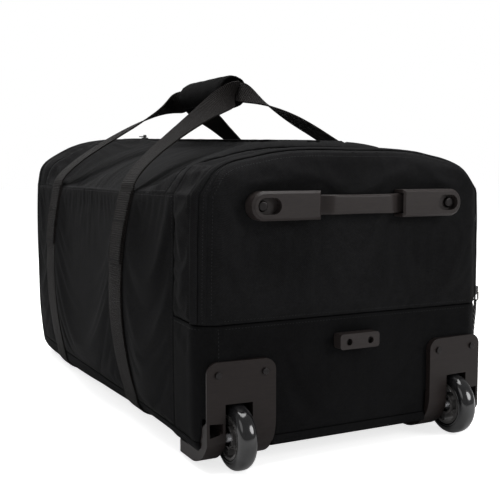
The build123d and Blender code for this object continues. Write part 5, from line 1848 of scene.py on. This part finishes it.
@dataclass
class Seams:
    """The rows of stitching that run beside the seams of the finished cloth."""

    cloth: dict[str, bpy.types.Object]
    form: type[BagForm] = BagForm
    inset: float = 4.0

    def side_path(self, side: Side, z: float, y_low: float, y_high: float) -> Callable[[float], tuple[Vector, Vector]]:
        """A level path along one side of the bag."""
        def path(t: float) -> tuple[Vector, Vector]:
            """The point and its outward direction."""
            y = y_low + (y_high - y_low) * t
            return Vector((side.value * self.form.side_x(y, z), y, z)), Vector((side.value, 0, 0))
        return path

    def arch_path(self, y: float, low_z: float) -> Callable[[float], tuple[Vector, Vector]]:
        """A path over the bag at y."""
        arch = self.form.arch(y, low_z)

        def path(t: float) -> tuple[Vector, Vector]:
            """The point and its outward direction."""
            x, z, nx, nz = arch.at(t)
            return Vector((x, y, z)), Vector((nx, 0, nz))
        return path

    def sew(self, name: str, runs: dict[str, list[tuple[Callable[[float], tuple[Vector, Vector]], float]]],
            body: str, wardrobe: Wardrobe) -> None:
        """Lay several runs of stitches and make them one piece.

        Args:
            name: the piece's name.
            runs: cloth piece to its paths, each with its length.
            body: the body that the stitches ride on.
            wardrobe: where the thread's finish comes from.
        """
        laid: list[Bar] = []
        for piece, paths in runs.items():
            surface = Surface(self.cloth[piece])
            for path, length in paths:
                laid += stitch_run(surface, path, length)
        obj = bars(name, laid, 3.0, 0.36, bow=0.35)
        wardrobe.dress(obj, "thread")
        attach(obj, body)
        log.info("%s: %d stitches on %s", name, len(laid), body)

    def build(self, wardrobe: Wardrobe) -> None:
        """Sew all the visible seams."""
        length = REAR_SEAM_Y - BULKHEAD_Y
        for side in Side:
            piece = f"{side.word}_side_cloth"
            up = [
                (lambda t, y=y, s=side: (Vector((s.value * self.form.side_x(y, 40 + 276 * t), y, 40 + 276 * t)),
                                         Vector((s.value, 0, 0))), 276.0)
                for y in (BULKHEAD_Y + self.inset, REAR_SEAM_Y - self.inset)
            ]
            level = [(self.side_path(side, z, BULKHEAD_Y + 3, REAR_SEAM_Y - 3), length)
                     for z in (SEAM_Z - self.inset, BASE_SEAM_Z + self.inset)]
            self.sew(f"{side.word}_side_stitching", {piece: up + level}, "root", wardrobe)
            near = (self.arch_path(FLAP_FRONT + self.inset, SEAM_Z), self.arch_path(FLAP_REAR - self.inset, SEAM_Z))
            halves = [((lambda t, p=path, s=side: p(0.49 * t if s is Side.LEFT else 1 - 0.49 * t)), 240.0)
                      for path in near]
            along = []
            for share in (0.008, 0.47):
                def path(t: float, share: float = share, side: Side = side) -> tuple[Vector, Vector]:
                    """A path along the flap at one share of the way over."""
                    y = FLAP_FRONT + 2 + (FLAP_REAR - FLAP_FRONT - 4) * t
                    x, z, nx, nz = self.form.arch(y, SEAM_Z).at(share if side is Side.LEFT else 1 - share)
                    return Vector((x, y, z)), Vector((nx, 0, nz))
                along.append((path, FLAP_REAR - FLAP_FRONT))
            self.sew(f"{side.word}_top_stitching", {f"{side.word}_top_cloth": halves + along},
                     f"{side.word}_flap", wardrobe)
        over = self.form.arch(-325.0, BAND_Z).length
        self.sew("gusset_stitching", {"pocket_gusset_cloth": [
            (self.arch_path(y, BAND_Z + 2), over) for y in (ZIP_Y + ZIP_GAP + 3.0, BULKHEAD_Y - self.inset)]},
            "root", wardrobe)
        rim = self.arch_path(-373.5, BAND_Z + 2)
        lower = (lambda t: (Vector((-178 + 356 * t, FRONT_Y, BAND_Z + 5.0)), Vector((0, -1, 0))), 356.0)

        def frame(t: float) -> tuple[Vector, Vector]:
            """A path on the face, just inside its arched edge."""
            x, z, nx, nz = self.form.arch(-376.5, BAND_Z + 4).at(0.004 + 0.992 * t)
            return Vector((x - nx * self.inset, FRONT_Y, z - nz * self.inset)), Vector((nx * 0.4, -1, nz * 0.4))

        self.sew("pocket_stitching", {
            "pocket_rim_cloth": [(rim, over)],
            "pocket_face_cloth": [(frame, over), lower],
        }, "end_flap", wardrobe)
        band = [(lambda t, z=z: (Vector((-176 + 352 * t, FRONT_Y, z)), Vector((0, -1, 0))), 352.0)
                for z in (BAND_Z - 4.5,)]
        band += [(self.side_path(side, BAND_Z - 4.5, -372.0, BULKHEAD_Y - 2), 80.0) for side in Side]
        band += [(lambda t, x=x: (Vector((x, FRONT_Y, BAND_Z - 2 - 50 * t)), Vector((0, -1, 0))), 50.0)
                 for x in (-184.0, 184.0)]
        self.sew("band_stitching", {"base_band_cloth": band}, "root", wardrobe)


# ------------------------------------------------------------------ mouldings, wheels and the end handle


@dataclass
class HardParts:
    """Everything that is moulded, turned or pressed."""

    wheel_x: float = 160.0
    wheel_y: float = -379.0
    wheel_r: float = 40.0
    handle_z: float = HANDLE_Z
    back_y: float = -383.15

    def tyre(self, side: Side, wardrobe: Wardrobe) -> None:
        """A moulded tyre: a rounded tread between two stepped walls, spun round the axle."""
        half = [(0.0, 40.0), (3.4, 39.86), (5.6, 39.4), (7.8, 38.3), (9.6, 36.6), (10.9, 34.4), (11.6, 32.2),
                (11.9, 31.0), (11.2, 30.4), (11.3, 29.5), (12.0, 29.0), (12.0, 27.9), (11.4, 27.05)]
        line = [(-x, r) for x, r in reversed(half[1:])] + half
        bm = bmesh.new()
        verts = [bm.verts.new((x, 0.0, r)) for x, r in line]
        for a, b in zip(verts, verts[1:]):
            bm.edges.new((a, b))
        bm.edges.new((verts[-1], verts[0]))
        bmesh.ops.spin(bm, geom=[*bm.verts, *bm.edges], cent=(0, 0, 0), axis=(1, 0, 0), angle=2 * math.pi, steps=96,
                       use_merge=True)
        bmesh.ops.remove_doubles(bm, verts=bm.verts, dist=0.001)
        bmesh.ops.recalc_face_normals(bm, faces=bm.faces)
        bmesh.ops.translate(bm, vec=(side.value * self.wheel_x, self.wheel_y, self.wheel_r), verts=bm.verts)
        obj = finish_mesh(bm, f"{side.word}_tyre_tread")
        obj.data.set_sharp_from_angle(angle=math.radians(50))
        self.hand_over(obj, wardrobe, "tyre", f"{side.word}_wheel", "wheel_tyre", f"{side.word}_tyre")

    def grip(self, wardrobe: Wardrobe) -> None:
        """The end handle's strap: a rounded bar that bows out between its blocks."""
        reach, thick, high, corner = 79.5, 6.0, 24.0, 2.4
        outline = []
        for cx, cz, first in ((1, 1, 0), (-1, 1, 1), (-1, -1, 2), (1, -1, 3)):
            for step in range(5):
                turn = math.pi / 2 * (first + step / 4)
                outline.append((cx * (thick / 2 - corner) + corner * math.cos(turn),
                                cz * (high / 2 - corner) + corner * math.sin(turn)))
        outline.append(outline[0])
        walk = Outline.through(outline)

        def depth(x: float) -> float:
            """How far the strap's middle plane stands off the panel."""
            t = min(max((abs(x) - 40.0) / 18.0, 0.0), 1.0)
            ease = t * t * (3 - 2 * t)
            return 4.5 + 7.5 * (1 - ease) + 0.8 * math.cos(x / 52.0) * (1 - ease) + thick / 2

        def place(s: float, t: float) -> Vector:
            """A point of the strap's skin."""
            x = reach * (2 * s - 1)
            off, up, _, _ = walk.at(t)
            waist = 1 - 0.035 * math.exp(-(x / 34.0) ** 2)
            return Vector((x, self.back_y - depth(x) + off, self.handle_z + up * waist))

        bm = shaped_grid(64, 40, place, lambda s, t: (s * 0.16, t * 0.06))
        bmesh.ops.remove_doubles(bm, verts=bm.verts, dist=0.001)
        bmesh.ops.holes_fill(bm, edges=[edge for edge in bm.edges if edge.is_boundary], sides=0)
        bmesh.ops.recalc_face_normals(bm, faces=bm.faces)
        obj = finish_mesh(bm, "end_grip_strap")
        obj.data.set_sharp_from_angle(angle=math.radians(60))
        self.hand_over(obj, wardrobe, "grip", "end_grip", "grip", "grip_strap")

    @staticmethod
    def hand_over(obj: bpy.types.Object, wardrobe: Wardrobe, finish: str, body: str, slot: str, *nodes: str) -> None:
        """Dress a hard piece and put it on its body."""
        wardrobe.dress(obj, finish)
        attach(obj, body)
        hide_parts(*nodes)
        log.info("%s on %s", obj.name, body)

    def build(self, wardrobe: Wardrobe, nodes: dict[str, bpy.types.Object]) -> None:
        """Make the finer pieces, round the edges of the others and dress what stays.

        Args:
            wardrobe: where the finishes come from.
            nodes: the CAD nodes by name.
        """
        self.grip(wardrobe)
        for side in Side:
            self.tyre(side, wardrobe)
            word = side.word
            for node, body, finish, slot, width in (
                (f"{word}_wheel_housing", "root", "moulding", "moulding", 1.1),
                (f"{word}_handle_block", "end_flap", "grip", "moulding", 1.5),
                (f"{word}_hub", f"{word}_wheel", "hub", "wheel_hub", 0.8),
                (f"{word}_axle_bolt", "root", "screw", "fastener", 0.5),
            ):
                self.hand_over(softened(node, f"{node}_moulded", width), wardrobe, finish, body, slot, node)
        for node, body, finish, slot, width in (
            ("stand_foot", "root", "grip", "moulding", 0.8),
            ("stand_foot_screws", "root", "screw", "fastener", 0.5),
            ("housing_screws", "root", "screw", "fastener", 0.6),
            ("handle_rivets", "end_flap", "screw", "fastener", 0.5),
        ):
            self.hand_over(softened(node, f"{node}_formed", width), wardrobe, finish, body, slot, node)
        rest = {"board": "board", "plate": "board", "strip": "steel", "race": "steel", "spacer": "steel",
                "nut": "steel", "bolt": "screw"}
        for name, node in nodes.items():
            if not node.hide_render:
                finish = next((value for key, value in rest.items() if key in name), "moulding")
                wardrobe.dress(node, finish)
                log.info("%s stays, in %s", name, finish)


# ------------------------------------------------------------------ floor, camera and lamps


@dataclass(frozen=True)
class Stage:
    """Floor, camera and lights, placed from the CAD model's box."""

    azimuth: float = -27.11
    elevation: float = 5.37
    distance: float = 1.394
    aim: tuple[float, float, float] = (0.0405, -0.0236, -0.028)
    lens: float = 62.0

    def build(self, low: Vector, high: Vector) -> None:
        """Make the camera, the floor, the world and the lamps.

        Args:
            low: the lowest corner of the CAD box.
            high: the highest corner of the CAD box.
        """
        self.camera(low, high)
        self.floor(low)
        self.world()
        self.lamps(low, high)

    def camera(self, low: Vector, high: Vector) -> None:
        """The camera, turned towards a point near the middle of the bag."""
        a, e = math.radians(self.azimuth), math.radians(self.elevation)
        back = Vector((math.sin(a) * math.cos(e), -math.cos(a) * math.cos(e), math.sin(e)))
        aim = (low + high) / 2 + Vector(self.aim)
        data = bpy.data.cameras.new("view")
        data.lens, data.sensor_width = self.lens, 36.0
        camera = bpy.data.objects.new("view", data)
        camera.location = aim + back * self.distance
        camera.rotation_euler = back.to_track_quat("Z", "Y").to_euler()
        bpy.context.scene.collection.objects.link(camera)
        bpy.context.scene.camera = camera

    @staticmethod
    def floor(low: Vector) -> None:
        """A wide plain floor that touches the wheels."""
        bm = bmesh.new()
        bmesh.ops.create_grid(bm, x_segments=8, y_segments=8, size=14.0)
        mesh = bpy.data.meshes.new("floor")
        bm.to_mesh(mesh)
        bm.free()
        floor = new_object("floor", mesh)
        floor.location.z = low.z - 0.0004
        material = bpy.data.materials.new("pale_floor")
        material.use_nodes = True
        shader = material.node_tree.nodes["Principled BSDF"]
        shader.inputs["Base Color"].default_value = (0.86, 0.86, 0.86, 1.0)
        shader.inputs["Roughness"].default_value = 0.6
        shader.inputs["Specular IOR Level"].default_value = 0.2
        shader.inputs["Emission Color"].default_value = (1.0, 1.0, 1.0, 1.0)
        tree = material.node_tree
        ray, glow = tree.nodes.new("ShaderNodeLightPath"), tree.nodes.new("ShaderNodeMath")
        glow.operation = "MULTIPLY"
        glow.inputs[1].default_value = FLOOR_GLOW
        tree.links.new(ray.outputs["Is Camera Ray"], glow.inputs[0])
        tree.links.new(glow.outputs[0], shader.inputs["Emission Strength"])
        mesh.materials.append(material)
        floor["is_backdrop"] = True

    @staticmethod
    def world() -> None:
        """An even white surround."""
        world = bpy.data.worlds.new("surround")
        world.use_nodes = True
        tree = world.node_tree
        lit, seen = tree.nodes["Background"], tree.nodes.new("ShaderNodeBackground")
        lit.inputs["Color"].default_value = (1.0, 1.0, 1.0, 1.0)
        lit.inputs["Strength"].default_value = 0.28
        seen.inputs["Strength"].default_value = 1.0
        seen.inputs["Color"].default_value = (1.0, 1.0, 1.0, 1.0)
        ray, mix = tree.nodes.new("ShaderNodeLightPath"), tree.nodes.new("ShaderNodeMixShader")
        tree.links.new(ray.outputs["Is Camera Ray"], mix.inputs[0])
        tree.links.new(lit.outputs[0], mix.inputs[1])
        tree.links.new(seen.outputs[0], mix.inputs[2])
        tree.links.new(mix.outputs[0], tree.nodes["World Output"].inputs["Surface"])
        bpy.context.scene.world = world
        bpy.context.scene.view_settings.view_transform = "Standard"

    @staticmethod
    def lamps(low: Vector, high: Vector) -> None:
        """Large soft lamps: one overhead, one at the left front and one behind."""
        middle = (low + high) / 2
        for name, offset, size, power in (
            ("overhead", (0.1, 0.0, 1.7), 1.8, 42.0),
            ("left_front", (-1.9, -1.0, 0.9), 1.3, 5.0),
            ("right_front", (1.3, -2.0, 0.8), 1.0, 19.0),
            ("far_rim", (-0.6, 1.9, 1.2), 1.4, 12.0),
        ):
            data = bpy.data.lights.new(name, "AREA")
            data.shape, data.size, data.energy = "DISK", size, power
            lamp = bpy.data.objects.new(name, data)
            lamp.location = middle + Vector(offset)
            lamp.rotation_euler = Vector(offset).to_track_quat("Z", "Y").to_euler()
            bpy.context.scene.collection.objects.link(lamp)


def main() -> None:
    """Build the whole scene in order."""
    logging.basicConfig(level=logging.INFO, format="%(name)s: %(message)s")
    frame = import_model()
    low, high = (Vector(corner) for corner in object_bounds())
    wardrobe = Wardrobe()
    Stage().build(low, high)
    body = FabricBody()
    body.build(wardrobe)
    HaulHandles().build(wardrobe)
    Zips().build(wardrobe)
    Seams(body.made).build(wardrobe)
    HardParts().build(wardrobe, frame["nodes"])
    {"cad": [list(low), list(high)], "visual": [list(corner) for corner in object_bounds()]}


if __name__ == "__main__":
    main()
